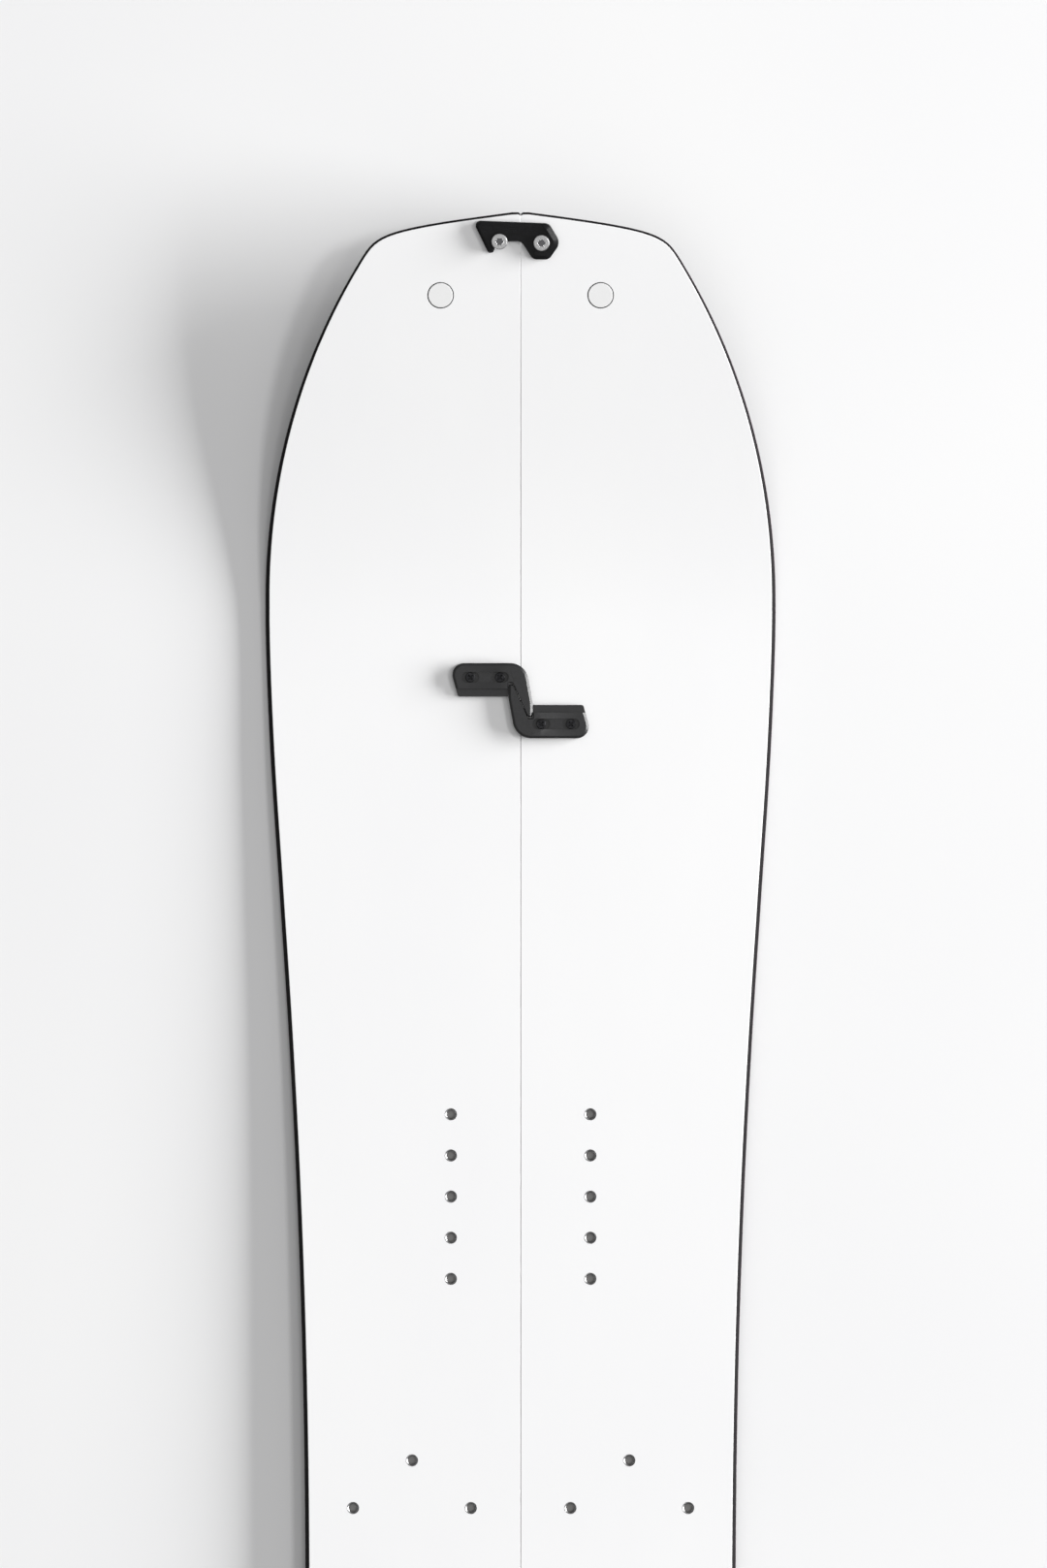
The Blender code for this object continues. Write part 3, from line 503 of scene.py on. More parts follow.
def spread_over(points_at, source, name, seed):
    """Geometry Nodes: stands a copy of source on each place, turned at random about its axis."""
    spots = bpy.data.meshes.new(name)
    spots.from_pydata([place.translation for place in points_at], [], [])
    facing = spots.attributes.new("facing", "FLOAT_VECTOR", "POINT")
    facing.data.foreach_set("vector", [c for place in points_at for c in place.to_3x3().col[2]])
    carrier = bpy.data.objects.new(name, spots)
    pattern = bpy.data.objects.new(name + "_one", source)
    for item in (carrier, pattern):
        bpy.context.scene.collection.objects.link(item)

    tree = bpy.data.node_groups.new(name, "GeometryNodeTree")
    tree.interface.new_socket("Places", in_out="INPUT", socket_type="NodeSocketGeometry")
    piece = tree.interface.new_socket("Piece", in_out="INPUT", socket_type="NodeSocketObject")
    metal = tree.interface.new_socket("Finish", in_out="INPUT", socket_type="NodeSocketMaterial")
    number = tree.interface.new_socket("Seed", in_out="INPUT", socket_type="NodeSocketInt")
    tree.interface.new_socket("Pieces", in_out="OUTPUT", socket_type="NodeSocketGeometry")
    start = tree.nodes.new("NodeGroupInput")
    end = tree.nodes.new("NodeGroupOutput")
    link = tree.links.new
    info = tree.nodes.new("GeometryNodeObjectInfo")
    link(start.outputs["Piece"], info.inputs["Object"])
    normal = tree.nodes.new("GeometryNodeInputNamedAttribute")
    normal.data_type = "FLOAT_VECTOR"
    normal.inputs["Name"].default_value = "facing"
    align = tree.nodes.new("FunctionNodeAlignRotationToVector")
    align.axis = "Z"
    link(normal.outputs["Attribute"], align.inputs["Vector"])
    chance = tree.nodes.new("FunctionNodeRandomValue")
    chance.data_type = "FLOAT"
    low, high = [s for s in chance.inputs if s.type == "VALUE"][:2]
    low.default_value, high.default_value = 0.0, 2 * math.pi
    link(start.outputs["Seed"], chance.inputs["Seed"])
    spin = tree.nodes.new("FunctionNodeAxisAngleToRotation")
    spin.inputs["Axis"].default_value = (0, 0, 1)
    link([s for s in chance.outputs if s.type == "VALUE"][0], spin.inputs["Angle"])
    turn = tree.nodes.new("FunctionNodeRotateRotation")
    turn.rotation_space = "LOCAL"
    link(align.outputs["Rotation"], turn.inputs["Rotation"])
    link(spin.outputs["Rotation"], turn.inputs["Rotate By"])
    stand_on = tree.nodes.new("GeometryNodeInstanceOnPoints")
    link(start.outputs["Places"], stand_on.inputs["Points"])
    link(info.outputs["Geometry"], stand_on.inputs["Instance"])
    link(turn.outputs["Rotation"], stand_on.inputs["Rotation"])
    real = tree.nodes.new("GeometryNodeRealizeInstances")
    link(stand_on.outputs["Instances"], real.inputs["Geometry"])
    dress = tree.nodes.new("GeometryNodeSetMaterial")
    link(real.outputs["Geometry"], dress.inputs["Geometry"])
    link(start.outputs["Finish"], dress.inputs["Material"])
    link(dress.outputs["Geometry"], end.inputs["Pieces"])

    modifier = carrier.modifiers.new("pieces", "NODES")
    modifier.node_group = tree
    modifier[piece.identifier] = pattern
    modifier[metal.identifier] = source.materials[0]
    modifier[number.identifier] = seed
    bpy.context.view_layer.update()
    seen = carrier.evaluated_get(bpy.context.evaluated_depsgraph_get())
    result = bpy.data.meshes.new_from_object(seen)
    for item in (carrier, pattern):
        bpy.data.objects.remove(item)
    result.name = name
    return result


def paint_shade_below(material, depth, colour):
    """Painted shade: darkens what lies deeper than a depth below each piece's own face, where shade falls in
    its hollows.
    """
    place = add(material, "ShaderNodeAttribute", attribute_name="own_place").outputs["Vector"]
    height = add(material, "ShaderNodeSeparateXYZ", {"Vector": place}).outputs["Z"]
    fade = add(material, "ShaderNodeMapRange", {"Value": height, "From Min": -depth, "From Max": -depth / 3})
    target = shader_of(material).inputs["Base Color"]
    upper = target.links[0].from_socket
    mix = add(material, "ShaderNodeMix", data_type="RGBA", clamp_factor=True)
    mix.inputs[6].default_value = linear(colour)
    material.node_tree.links.new(fade.outputs["Result"], mix.inputs[0])
    material.node_tree.links.new(upper, mix.inputs[7])
    material.node_tree.links.new(mix.outputs[2], target)


def turning_marks(material, pitch, height):
    """Concentric tool marks about each piece's own axis."""
    place = add(material, "ShaderNodeAttribute", attribute_name="own_place").outputs["Vector"]
    rings = add(material, "ShaderNodeTexWave", {"Vector": place, "Scale": math.pi / 10 / pitch,
                                              "Distortion": 0.6, "Detail": 2.0},
                wave_type="RINGS", rings_direction="Z")
    emboss(material, rings.outputs["Fac"], height)


turned_steel = finish_of("turned_stainless_steel", "#a3a3a4", 0.38, 1.0)
vary_roughness(turned_steel, grain(turned_steel, (0.0006, 0.0006, 0.0006), 3, "own_place"), 0.32, 0.44)
vary_colour(turned_steel, grain(turned_steel, (0.003, 0.003, 0.003), 2, "own_place"), "#9a9a9b", "#acacac")
# Painted shade: each insert's bore is darkened towards grey deeper than about 1.3 mm, fully at 4 mm down.
paint_shade_below(turned_steel, 0.0040, "#949392")
turning_marks(turned_steel, 0.00018, 0.000004)

low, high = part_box("insert_front_right_1")
insert_radius = (high.x - low.x) / 2
insert_height = high.z - low.z
profile = [(insert_radius, -insert_height), (insert_radius, -INSERT_RIM),
           (insert_radius - INSERT_RIM, 0), (MOUTH, 0), (THREAD_CREST, -(MOUTH - THREAD_CREST))]
for i in range(TURNS):
    top_of_turn = MOUTH - THREAD_CREST + i * THREAD_PITCH
    profile += [(THREAD_ROOT, -(top_of_turn + 0.45 * THREAD_PITCH)),
                (THREAD_CREST, -(top_of_turn + 0.9 * THREAD_PITCH))]
above_foot = INSERT_DROP - insert_height
profile = [(r, z - INSERT_DROP) for r, z in profile if z > above_foot or z == -insert_height]
insert = marked(turned("insert", profile, INSERT_SIDES))
insert.materials.append(turned_steel)
for half in HALVES:
    nodes = [n for n in NODES if n.startswith("insert_") and half in n]
    mesh = spread_over([seat_of(n, 1) for n in nodes], insert, "threaded_inserts_" + half, 3)
    show("threaded_inserts_" + half, mesh, None, half + "_half", "stainless", *nodes)

# ------------------------------------------------------------------ tip plugs
# White ABS plugs that close the skin holes at the tip. A thin black ring round each disc is painted shade,
# standing for the shade in the narrow gap about the disc.

# Painted shade: a black ring stands for the shade in the narrow gap round each disc; the disc reaches into
# it by its bite.
SHADE_RING_WALL = 0.00058
SHADE_RING_DROP = 0.00025
SHADE_RING_BITE = 0.0002        # the disc is pressed this far into the rubber
SHADE_RING_LIFT = 0.0001        # of its foot, above the disc's
DISC_RIM = 0.0003
DISC_DEPTH = 0.0017
DISC_SIDES = 72

moulded_white = finish_of("moulded_white_abs", "#ececec", 0.38)
vary_roughness(moulded_white, grain(moulded_white, (0.0008, 0.0008, 0.0008), 3), 0.32, 0.46)
emboss(moulded_white, grain(moulded_white, (0.0005, 0.0005, 0.0005), 2), 0.000008)
# Painted shade: dark matt finish of the ring that stands for the gap's shade.
gap_shade_finish = finish_of("painted_gap_shade", "#101011", 0.8)
vary_roughness(gap_shade_finish, grain(gap_shade_finish, (0.0006, 0.0006, 0.0006), 2), 0.7, 0.9)
shader_of(gap_shade_finish).inputs["Specular IOR Level"].default_value = 0.2

low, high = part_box("tip_plug_right")
disc_radius = (high.x - low.x) / 2
for half in HALVES:
    disc = turned("disc", [(disc_radius, -DISC_DEPTH), (disc_radius, -DISC_RIM),
                           (disc_radius - DISC_RIM * 0.3, -DISC_RIM * 0.3),
                           (disc_radius - DISC_RIM, 0)], DISC_SIDES)
    disc.materials.append(moulded_white)
    outer, inner = disc_radius + SHADE_RING_WALL, disc_radius - SHADE_RING_BITE
    foot = SHADE_RING_LIFT - DISC_DEPTH
    # Painted shade: the dark ring round the disc.
    shade_ring = turned("shade_ring", [(outer, foot), (outer, -SHADE_RING_DROP), (inner, -SHADE_RING_DROP), (inner, foot)],
                    DISC_SIDES)
    shade_ring.materials.append(gap_shade_finish)
    for name, mesh, material in (("skin_plug_", disc, moulded_white),
                                 ("skin_plug_sleeve_", shade_ring, gap_shade_finish)):
        mesh.transform(seat_of("tip_plug_" + half, 1))
        show(name + half, mesh, material, half + "_half", "tip_plug", "tip_plug_" + half)

# ------------------------------------------------------------------ hooks
# Two equal hooks of glass-filled nylon in each pair, one screwed to either half and turned half
# round from the other. They are moulded, with broad sloping edges and a fine sparked texture,
# and each arm reaches over the seam to lie against the other arm.

HOOK_CORNER = (-0.0444, 0.0232, 0.0073)     # across, along, radius; from the middle of the pair
HOOK_FOOT = (-0.0387, 0.0026, 0.0016)
HOOK_HEIGHT = 0.0058
PLATE_HEIGHT = 0.0046
RAMP = (-0.0205, -0.0125)
LEDGE = (0.0074, 0.0024)                    # along, height
HOOK_EDGE = (0.0015, 0.0009)                # width and drop of the sloping edge
INNER_EDGE = 0.0003
ARM_END_EDGE = 0.0005
HOOK_SEAT = 0.0004
HOOK_FLOOR = 0.0014
ARM_REACH = 0.0075
ARM_DROP = 0.0098
ARM_BEND = (-0.0015, 0.0200)                # along, radius
ARM_SHOULDER = (0.0030, 0.0114)             # across, radius
ARM_TILT = 0.449                            # across, for each step along
FOOT_RADIUS = 0.0004
NOTCH_RADIUS = 0.0003
ARM_END_RADII = (0.0005, 0.0012)
ARM_PLAY = 0.0003
ARM_END_ROOM = 0.0013
ARM_LIFT = 0.0013
UNDERCUT = 0.0004                           # of the raised arm, back from the seam
POCKETS = (-0.03105, -0.01275)
POCKET_LINE = 0.01445
POCKET = (0.0109, 0.0067)
RECESS = 0.0009
MOULD_RADIUS = 0.00028
SHARP_ABOVE = 32                            # degrees; steeper edges are rounded
CUT_PAST = 0.004                            # of a cutter, beyond what it cuts
NEARLY_STRAIGHT = 0.02                      # radians between two sides
LEAST_RADIUS = 0.00005
CREASE = ((-0.0071, 0.0211), (-0.0038, 0.0113))
CREASE_SIZE = (0.00022, 0.00018)


def rounded(corners, step=5, insets=None):
    """Anticlockwise outline through (x, y, radius) corners, each an arc with a point every step
    of degrees. insets moves in the sides, the first of which leaves the first corner."""
    points = []
    for i, (x, y, radius) in enumerate(corners):
        here = Vector((x, y))
        into = (here - Vector(corners[i - 1][:2])).normalized()
        out = (Vector(corners[(i + 1) % len(corners)][:2]) - here).normalized()
        before, after = (insets[i - 1], insets[i]) if insets else (0, 0)
        cross = into.x * out.y - into.y * out.x
        if abs(cross) > NEARLY_STRAIGHT:
            here = here + (out * before - into * after) / cross
        else:
            here = here + Vector((-into.y, into.x)) * before
        side = math.copysign(1, cross)
        turn = math.acos(max(-1, min(1, into.dot(out))))
        if radius == 0 or turn < NEARLY_STRAIGHT:
            points.append(tuple(here))
            continue
        radius = max(radius - side * (before + after) / 2, LEAST_RADIUS)
        start = here - into * radius * math.tan(turn / 2)
        centre = start + Vector((-into.y, into.x)) * side * radius
        spoke = start - centre
        count = max(2, round(math.degrees(turn) / step))
        for k in range(count + 1):
            c, s = math.cos(side * turn * k / count), math.sin(side * turn * k / count)
            points.append((centre.x + spoke.x * c - spoke.y * s, centre.y + spoke.x * s + spoke.y * c))
    return points


def block(name, line, low, high, top_line=None, drop=0):
    """Upright solid over an anticlockwise outline. Its top edge slopes in to top_line over the
    drop."""
    levels = [(line, low), (line, high - drop)]
    if top_line:
        levels.append((top_line, high))
    count = len(line)
    points = [(x, y, z) for outline_at, z in levels for x, y in outline_at]
    faces = [tuple(reversed(range(count))), tuple(range((len(levels) - 1) * count, len(levels) * count))]
    for k in range(len(levels) - 1):
        for i in range(count):
            j = (i + 1) % count
            faces.append((k * count + i, k * count + j, (k + 1) * count + j, (k + 1) * count + i))
    return closed(name, points, faces)


def slot_line(x, y, length, width):
    """Outline of a slot with round ends about x, y."""
    half_run, half_width = length / 2, width / 2
    corners = [(x - half_run, y - half_width), (x + half_run, y - half_width),
               (x + half_run, y + half_width), (x - half_run, y + half_width)]
    return rounded([(a, b, half_width * 0.999) for a, b in corners], 9)


def oblong(x0, y0, x1, y1):
    return [(x0, y0), (x1, y0), (x1, y1), (x0, y1)]


def softened(mesh, width):
    """Rounds the sharp edges a little."""
    return shaped_by(mesh, "BEVEL", width=width, segments=2, limit_method="ANGLE",
                     angle_limit=math.radians(SHARP_ABOVE), harden_normals=True, miter_outer="MITER_ARC")


def hook_mesh():
    """The left half's hook, about the middle of its pair. The right half's is turned half round."""
    play = ARM_PLAY / 2 * math.hypot(1, ARM_TILT)
    notch = ARM_DROP + ARM_END_ROOM
    inner = -ARM_REACH - ARM_PLAY
    top = HOOK_CORNER[1]
    corners = [(inner, HOOK_FOOT[1], FOOT_RADIUS), (inner, notch, NOTCH_RADIUS),
               (play - ARM_TILT * notch, notch, NOTCH_RADIUS),
               (play + ARM_TILT * ARM_DROP, -ARM_DROP, ARM_END_RADII[0]),
               (ARM_REACH, -ARM_DROP, ARM_END_RADII[1]),
               (ARM_REACH, *ARM_BEND), (ARM_SHOULDER[0], top, ARM_SHOULDER[1]), HOOK_CORNER, HOOK_FOOT]
    insets = [INNER_EDGE] * 3 + [ARM_END_EDGE] + [HOOK_EDGE[0]] * 4 + [INNER_EDGE]
    mesh = block("hook", rounded(corners), HOOK_SEAT, HOOK_HEIGHT, rounded(corners, 5, insets),
                 HOOK_EDGE[1])
    shaped = bmesh.new()
    shaped.from_mesh(mesh)
    for x in RAMP:
        bmesh.ops.bisect_plane(shaped, geom=shaped.verts[:] + shaped.edges[:] + shaped.faces[:],
                               plane_co=(x, 0, 0), plane_no=(1, 0, 0))
    for point in shaped.verts:
        if point.co.z > 2 * HOOK_SEAT:
            share = min(max((RAMP[1] - point.co.x) / (RAMP[1] - RAMP[0]), 0), 1)
            point.co.z -= share * (HOOK_HEIGHT - PLATE_HEIGHT)
    shaped.to_mesh(mesh)
    shaped.free()
    above = HOOK_HEIGHT + CUT_PAST
    level = Matrix.Identity(4)
    shelf = oblong(2 * HOOK_CORNER[0], -CUT_PAST, inner + 2 * ARM_PLAY, LEDGE[0])
    mesh = carved(mesh, [(block("ledge", shelf, LEDGE[1], above), level)])
    under_arm = oblong(-UNDERCUT, -top, ARM_REACH + CUT_PAST, top + CUT_PAST)
    mesh = carved(mesh, [(block("under", under_arm, -CUT_PAST, ARM_LIFT), level)])
    recess_run = POCKETS[1] - POCKETS[0] + POCKET[0]
    recess = slot_line(sum(POCKETS) / 2, POCKET_LINE, recess_run, POCKET[1])
    mesh = carved(mesh, [(block("recess", recess, PLATE_HEIGHT - RECESS, above), level)])
    pockets = [slot_line(x, POCKET_LINE, *POCKET) for x in POCKETS]
    mesh = carved(mesh, [(block("pocket", line, HOOK_SEAT + HOOK_FLOOR, above), level) for line in pockets])
    mesh = carved(mesh, [(turned("bore", [(SCREW_HOLE, -CUT_PAST), (SCREW_HOLE, CUT_PAST)]),
                          Matrix.Translation((x, POCKET_LINE, 0))) for x in POCKETS])
    start, end = (Vector(place) for place in CREASE)
    across = Vector((start.y - end.y, end.x - start.x)).normalized() * CREASE_SIZE[0] / 2
    groove = [tuple(p) for p in (start + across, start - across, end - across, end + across)]
    mesh = carved(mesh, [(block("crease", groove, HOOK_HEIGHT - CREASE_SIZE[1], above), level)])
    return softened(mesh, MOULD_RADIUS)


glass_nylon = finish_of("glass_filled_nylon", "#121214", 0.32)
shader_of(glass_nylon).inputs["Specular IOR Level"].default_value = 0.80
spark = grain(glass_nylon, (0.00035, 0.00035, 0.00035), 3, "own_place")
vary_colour(glass_nylon, grain(glass_nylon, (0.003, 0.003, 0.003), 4, "own_place"), "#0f0f11", "#161618")
vary_roughness(glass_nylon, spark, 0.26, 0.38)
emboss(glass_nylon, spark, 0.00003)

hook = marked(hook_mesh())
hook_pairs = {}
for pair in ("front", "rear"):
    boxes = [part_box(f"hook_{pair}_{half}") for half in HALVES]
    middle_y = sum(low.y + high.y for low, high in boxes) / 4
    hook_pairs[pair] = middle_y
    for half, side in HALVES.items():
        place = seat(0, middle_y, -side, HOOK_CORNER[1])
        mesh = hook.copy()
        mesh.transform(place)
        show(f"moulded_hook_{pair}_{half}", mesh, glass_nylon, half + "_half", "hook_nylon",
             f"hook_{pair}_{half}")

# ------------------------------------------------------------------ hook screws
# Cheese-head steel screws with a cross recess and a black zinc finish, two to a hook, driven
# into the board under it. Each stopped at its own angle when it was tightened.

SCREW_HEAD = (0.0030, 0.0019)       # radius, height
CROSS = (0.0012, 0.0007, 0.0013)    # mean radius, reach of its arms, depth
CROSS_BREAK = 0.0001                # width and depth of its broken rim
HEAD_RIM = 0.00035
SCREW_FOOT = -0.0043                # from the deck
SCREW_SIDES = 64

dull_steel = finish_of("black_zinc_screw", "#353537", 0.30, 1.0)
vary_roughness(dull_steel, grain(dull_steel, (0.0005, 0.0005, 0.0005), 3, "own_place"), 0.28, 0.46)
vary_colour(dull_steel, grain(dull_steel, (0.002, 0.002, 0.002), 2, "own_place"), "#2b2b2d", "#434345")
turning_marks(dull_steel, 0.00015, 0.000004)

under_head = HOOK_SEAT + HOOK_FLOOR
head_top = under_head + SCREW_HEAD[1]
shank = SCREW_HOLE - JOINT_GAP
profile = [(shank, SCREW_FOOT), (shank, under_head), (SCREW_HEAD[0], under_head),
           (SCREW_HEAD[0], head_top - HEAD_RIM), (SCREW_HEAD[0] - 0.3 * HEAD_RIM, head_top - 0.3 * HEAD_RIM),
           (SCREW_HEAD[0] - HEAD_RIM, head_top), (CROSS[0] + CROSS_BREAK, head_top, 4, CROSS[1]),
           (CROSS[0], head_top - CROSS_BREAK, 4, CROSS[1]),
           (CROSS[0] * 0.8, head_top - CROSS[2], 4, CROSS[1] * 0.8)]
screw = marked(turned("screw", profile, SCREW_SIDES))
screw.materials.append(dull_steel)
for half, side in HALVES.items():
    nodes = [n for n in NODES if n.startswith("hook_screw_") and half in n]
    spots = []
    for middle_y in hook_pairs.values():
        place = seat(0, middle_y, -side, HOOK_CORNER[1])
        spots += [place @ Matrix.Translation((x, POCKET_LINE, 0)) for x in POCKETS]
    show("cross_screws_" + half, spread_over(spots, screw, "cross_screws_" + half, 11), None,
         half + "_half", "stainless", *nodes)

# ------------------------------------------------------------------ turning clips
# Milled aluminium plates, bead blasted and anodised black. A clip turns on its pivot screw, and
# its finger closes round the catch post on the other half. The bar between its two ends is
# milled lower, so that it passes out from under the post's head.

CLIP_HEIGHTS = (0.0006, 0.0042)         # underside, top; above the deck
BAR_DROP = 0.0012
POST = (-0.0259, 0.0009)                # from the pivot
POST_ROOM = 0.0030
SLOT_RUN = 9                            # degrees
FINGER = ((-0.0067, -0.0075, 0.0018), (-0.0040, -0.0068, 0.0012))
UPPER_CORNER = (-0.0165, 0.0128, 0.0030)
BODY = ((-0.0054, -0.0102, 0.0044), (0.0045, -0.0104, 0.0045), (0.0118, -0.0001, 0.0068),
        (0.0045, 0.0119, 0.0050))
CLIP_EDGES = (0.0010, 0.0024, 0.0030, 0.0030, 0.0028, 0.0016)   # widths, from the throat on
FINGER_EDGES = (0.0008, 0.0003)         # widths, at the finger's tip and round the slot
THROAT = (-0.0124, 0.0050)
STEP_ROOM = 0.0056
STEP_ARC = (140, 225)                   # degrees
STEP_SIDE = ((-0.0070, -0.0200), (-0.0030, -0.0010), (0.0042, 0.0056), (0.0002, 0.0120), (-0.0010, 0.0200))
HEAD_RADIUS = 0.0050
HEAD_SIDES = 72
RIDGE_LINES = (0.0068, 0.0080, 0.0092)
RIDGE = (-0.0205, -0.0025, 0.00035, 0.00012)    # from, to, width, depth
MILLED_RADIUS = 0.00015


def arc(x, y, radius, start, end, count):
    """Points on a circle about x, y from start to end degrees, both included."""
    angles = [math.radians(start + (end - start) * i / count) for i in range(count + 1)]
    return [(x + radius * math.cos(a), y + radius * math.sin(a)) for a in angles]


def clip_mesh():
    """The tip's clip, about its pivot."""
    px, py = POST
    post_run = math.hypot(px, py)
    angle = math.degrees(math.atan2(py, px))
    low, high = CLIP_HEIGHTS
    floor = high - BAR_DROP
    slot = arc(0, 0, post_run + POST_ROOM, angle + SLOT_RUN, angle, 4)
    slot += arc(px, py, POST_ROOM, angle, angle - 180, 24)[1:]
    corners = [(px + x, py + y, r) for x, y, r in FINGER] + [(x, y, 0) for x, y in slot]
    corners += [(THROAT[0], py, THROAT[1]), *BODY]
    corners.append((px + UPPER_CORNER[0], py + UPPER_CORNER[1], UPPER_CORNER[2]))
    insets = [FINGER_EDGES[0]] + [FINGER_EDGES[1]] * (len(slot) + 1) + list(CLIP_EDGES)
    mesh = block("clip", rounded(corners), low, high, rounded(corners, 5, insets), BAR_DROP)
    level = Matrix.Identity(4)
    above = high + CUT_PAST
    bar = arc(0, 0, post_run + STEP_ROOM, *STEP_ARC, 48) + list(STEP_SIDE)
    mesh = carved(mesh, [(block("bar", bar, floor, above), level)])
    room = HEAD_RADIUS + JOINT_GAP
    mesh = carved(mesh, [(turned("sink", [(room, floor), (room, above)], HEAD_SIDES), level)])
    mesh = carved(mesh, [(turned("bore", [(CLIP_HOLE, -CUT_PAST), (CLIP_HOLE, high)]), level)])
    start, end, width, depth = RIDGE
    ridges = [oblong(start, y - width / 2, end, y + width / 2) for y in RIDGE_LINES]
    mesh = carved(mesh, [(block("ridge", line, floor - depth, above), level) for line in ridges])
    return softened(mesh, MILLED_RADIUS)


black_anodised = finish_of("bead_blasted_black_anodising", "#101012", 0.29)
shader_of(black_anodised).inputs["Specular IOR Level"].default_value = 0.24
blast = grain(black_anodised, (0.00022, 0.00022, 0.00022), 3, "own_place")
dye = grain(black_anodised, (0.004, 0.002, 0.004), 4, "own_place")
vary_colour(black_anodised, dye, "#0a0a0b", "#131315")
vary_roughness(black_anodised, blast, 0.24, 0.34)
emboss(black_anodised, blast, 0.00002)

pivots = {}
clip = marked(clip_mesh())
for end, toward in (("tip", 1), ("tail", -1)):
    place = seat_of(end + "_clip_pivot", toward, CLIP_HEAD_MIDDLE)
    pivots[end] = place
    mesh = clip.copy()
    mesh.transform(place)
    show("milled_clip_" + end, mesh, black_anodised, end + "_clip_body", "clip_alloy", end + "_clip")

# ------------------------------------------------------------------ pivot screws and catch posts
# Polished stainless screws, 10 mm across the head, with a shallow six-lobed recess. The pivot
# screw holds the clip down, and the catch post's head stands just clear above it.

HEAD = (0.0022, 0.0006)             # height, chamfer
STAR = (0.0021, 0.0003, 0.0010)     # mean radius, reach of its lobes, depth
STAR_BREAK = 0.0002                 # width and depth of its broken rim
POST_LIFT = 0.0009
CLIP_SHANK = (0.0025, -0.0028)      # radius, foot

polished_steel = finish_of("polished_stainless_steel", "#dcdcdc", 0.22, 1.0)
vary_roughness(polished_steel, grain(polished_steel, (0.0008, 0.0008, 0.0008), 3, "own_place"), 0.18, 0.30)
haze = grain(polished_steel, (0.004, 0.004, 0.004), 2, "own_place")
vary_colour(polished_steel, haze, "#d2d2d3", "#e4e4e4")
# Painted shade: each head's recess and sides are darkened towards grey below its top face, fully at 0.9 mm
# down.
paint_shade_below(polished_steel, 0.0009, "#7a7a7c")
turning_marks(polished_steel, 0.00022, 0.000003)


def head_screw(underside_of_head):
    """Screw whose head stands at a height above the deck. Its marks are kept from its top."""
    radius, foot = CLIP_SHANK
    height, chamfer = HEAD
    star, reach, depth = STAR
    top = underside_of_head + height
    mesh = marked(turned("screw", [
        (radius, foot - top), (radius, -height), (HEAD_RADIUS, -height), (HEAD_RADIUS, -chamfer),
        (HEAD_RADIUS - 0.3 * chamfer, -0.35 * chamfer), (HEAD_RADIUS - chamfer, 0),
        (star + STAR_BREAK, 0, 6, reach), (star, -STAR_BREAK, 6, reach),
        (star * 0.94, -depth, 6, reach)], HEAD_SIDES))
    mesh.transform(Matrix.Translation((0, 0, top)))
    return mesh


bar_top = CLIP_HEIGHTS[1] - BAR_DROP
for end, place in pivots.items():
    catch = place @ Matrix.Translation((*POST, 0))
    for node, spot, height in ((end + "_clip_pivot", place, bar_top + JOINT_GAP),
                               (end + "_catch_post", catch, bar_top + POST_LIFT)):
        mesh = head_screw(height)
        mesh.transform(spot)
        show("polished_screw_" + node, mesh, polished_steel, CLIP_SCREWS[node] + "_half", "stainless", node)

# ------------------------------------------------------------------ floor, light and camera
# A wide sheet of matt white card under the board. One broad soft light stands low on the right,
# and two small ones higher up give the black parts their highlights. A white room, brighter
# overhead, fills the shadows. The camera looks straight down from far off.

CARD_REACH = 6
CARD_DROP = 0.0002

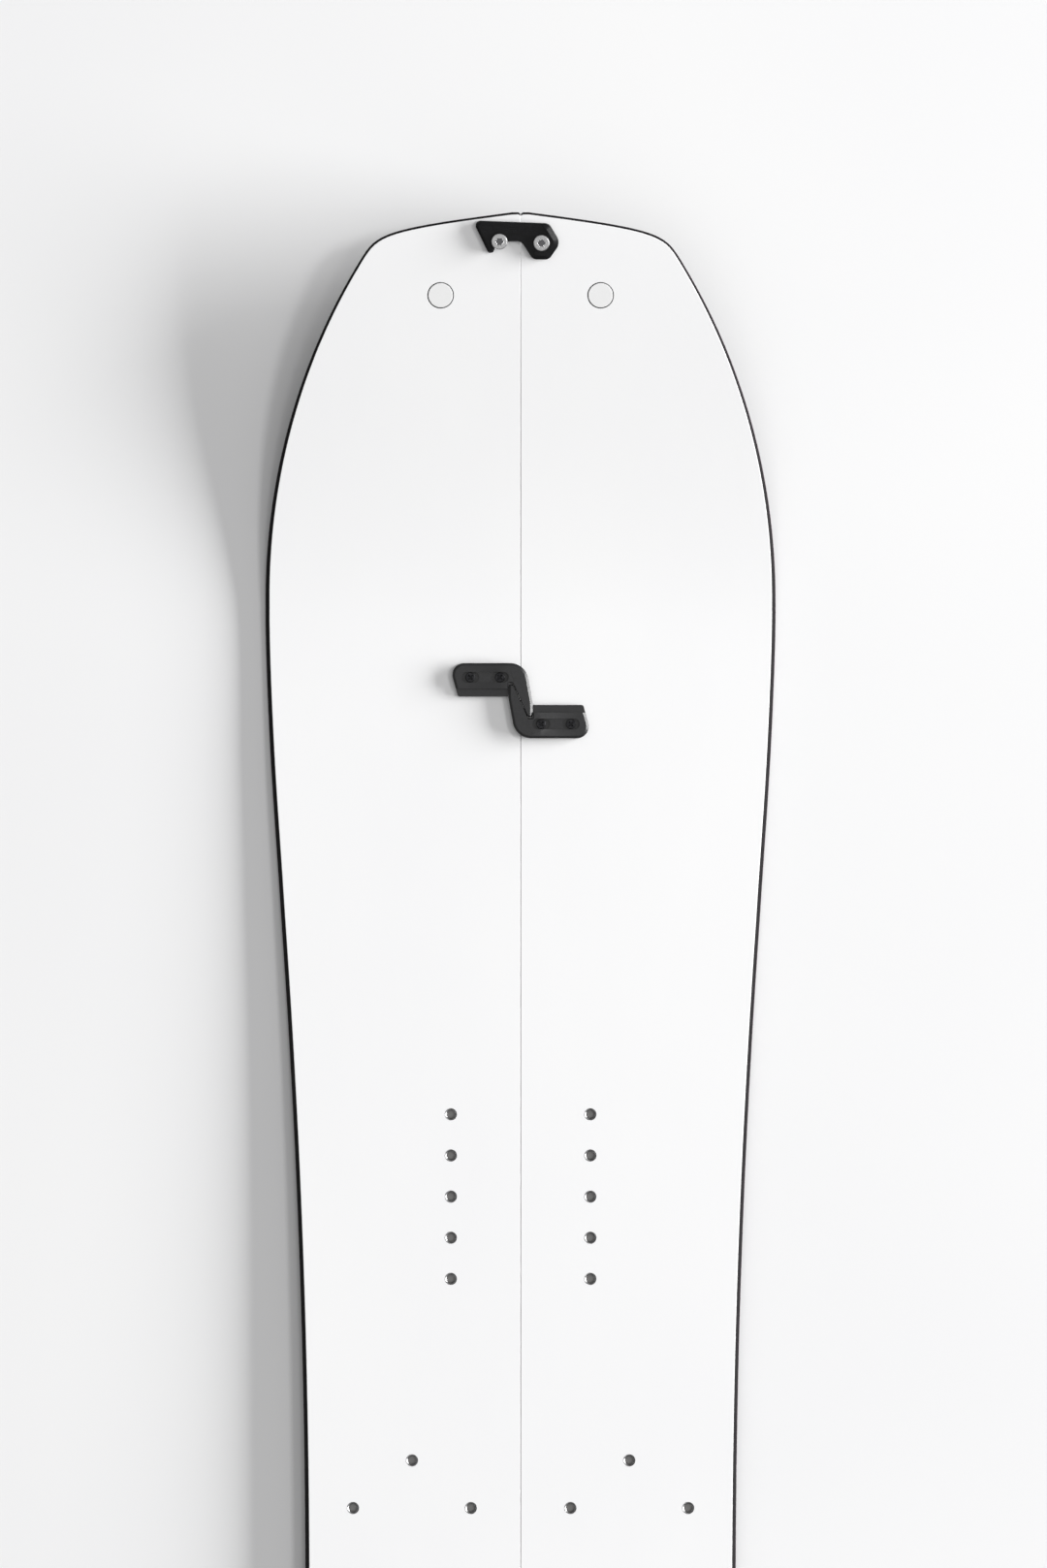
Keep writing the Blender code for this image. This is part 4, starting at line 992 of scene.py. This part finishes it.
card = finish_of("matt_white_card", "#f1f1f1", 0.85)
vary_colour(card, grain(card, (0.6, 0.6, 0.6), 2), "#eeeeef", "#f3f3f3")
emboss(card, grain(card, (0.0015, 0.0015, 0.0015), 3), 0.00001)
sheet = bpy.data.meshes.new("card_floor")
sheet.from_pydata([(x, y, 0) for x, y in oblong(-CARD_REACH, -CARD_REACH, CARD_REACH, CARD_REACH)],
                  [], [(0, 1, 2, 3)])
sheet.materials.append(card)
floor = bpy.data.objects.new("card_floor", sheet)
bpy.context.scene.collection.objects.link(floor)
floor.location.z = -CARD_DROP


def soft_light(name, place, aim, width, height, power):
    """White rectangular light at a place, turned to face its aim."""
    lamp = bpy.data.lights.new(name, "AREA")
    lamp.shape = "RECTANGLE"
    lamp.size, lamp.size_y = width, height
    lamp.energy = power
    stand = bpy.data.objects.new(name, lamp)
    bpy.context.scene.collection.objects.link(stand)
    stand.location = place
    stand.rotation_euler = (Vector(aim) - Vector(place)).to_track_quat("-Z", "Y").to_euler()


MID_BOARD = (0.0, 0.30, 0.0)
TIP_CLIP = (0.0, 0.79, 0.0)
soft_light("low_right_light", (13.5, 1.9, 3.1), MID_BOARD, 11.0, 4.0, 4950)
soft_light("high_right_light", (4.1, 1.6, 5.3), TIP_CLIP, 1.1, 1.1, 75)
soft_light("overhead_light", (2.9, 0.30, 9.5), MID_BOARD, 1.0, 1.0, 31)

ROOM_GLOW = (0.06, 0.54)    # at the horizon, overhead
room = bpy.data.worlds.new("white_room")
room.use_nodes = True
room.node_tree.nodes["Background"].inputs["Color"].default_value = linear("#ffffff")
look = add(room, "ShaderNodeTexCoord").outputs["Generated"]
up = add(room, "ShaderNodeSeparateXYZ", {"Vector": look}).outputs["Z"]
glow = add(room, "ShaderNodeMapRange", {"Value": up, "To Min": ROOM_GLOW[0], "To Max": ROOM_GLOW[1]})
room.node_tree.links.new(glow.outputs["Result"], room.node_tree.nodes["Background"].inputs["Strength"])
bpy.context.scene.world = room
bpy.context.scene.view_settings.view_transform = "Standard"

CAMERA_PLACE = (0.0018, 0.458, 8.4)
VIEW_HEIGHT = 0.970
camera = bpy.data.cameras.new("overhead")
camera.sensor_fit = "VERTICAL"
camera.sensor_height = 24
camera.lens = camera.sensor_height * CAMERA_PLACE[2] / VIEW_HEIGHT
camera.clip_end = 50
stand = bpy.data.objects.new("overhead", camera)
bpy.context.scene.collection.objects.link(stand)
stand.location = CAMERA_PLACE
bpy.context.scene.camera = stand
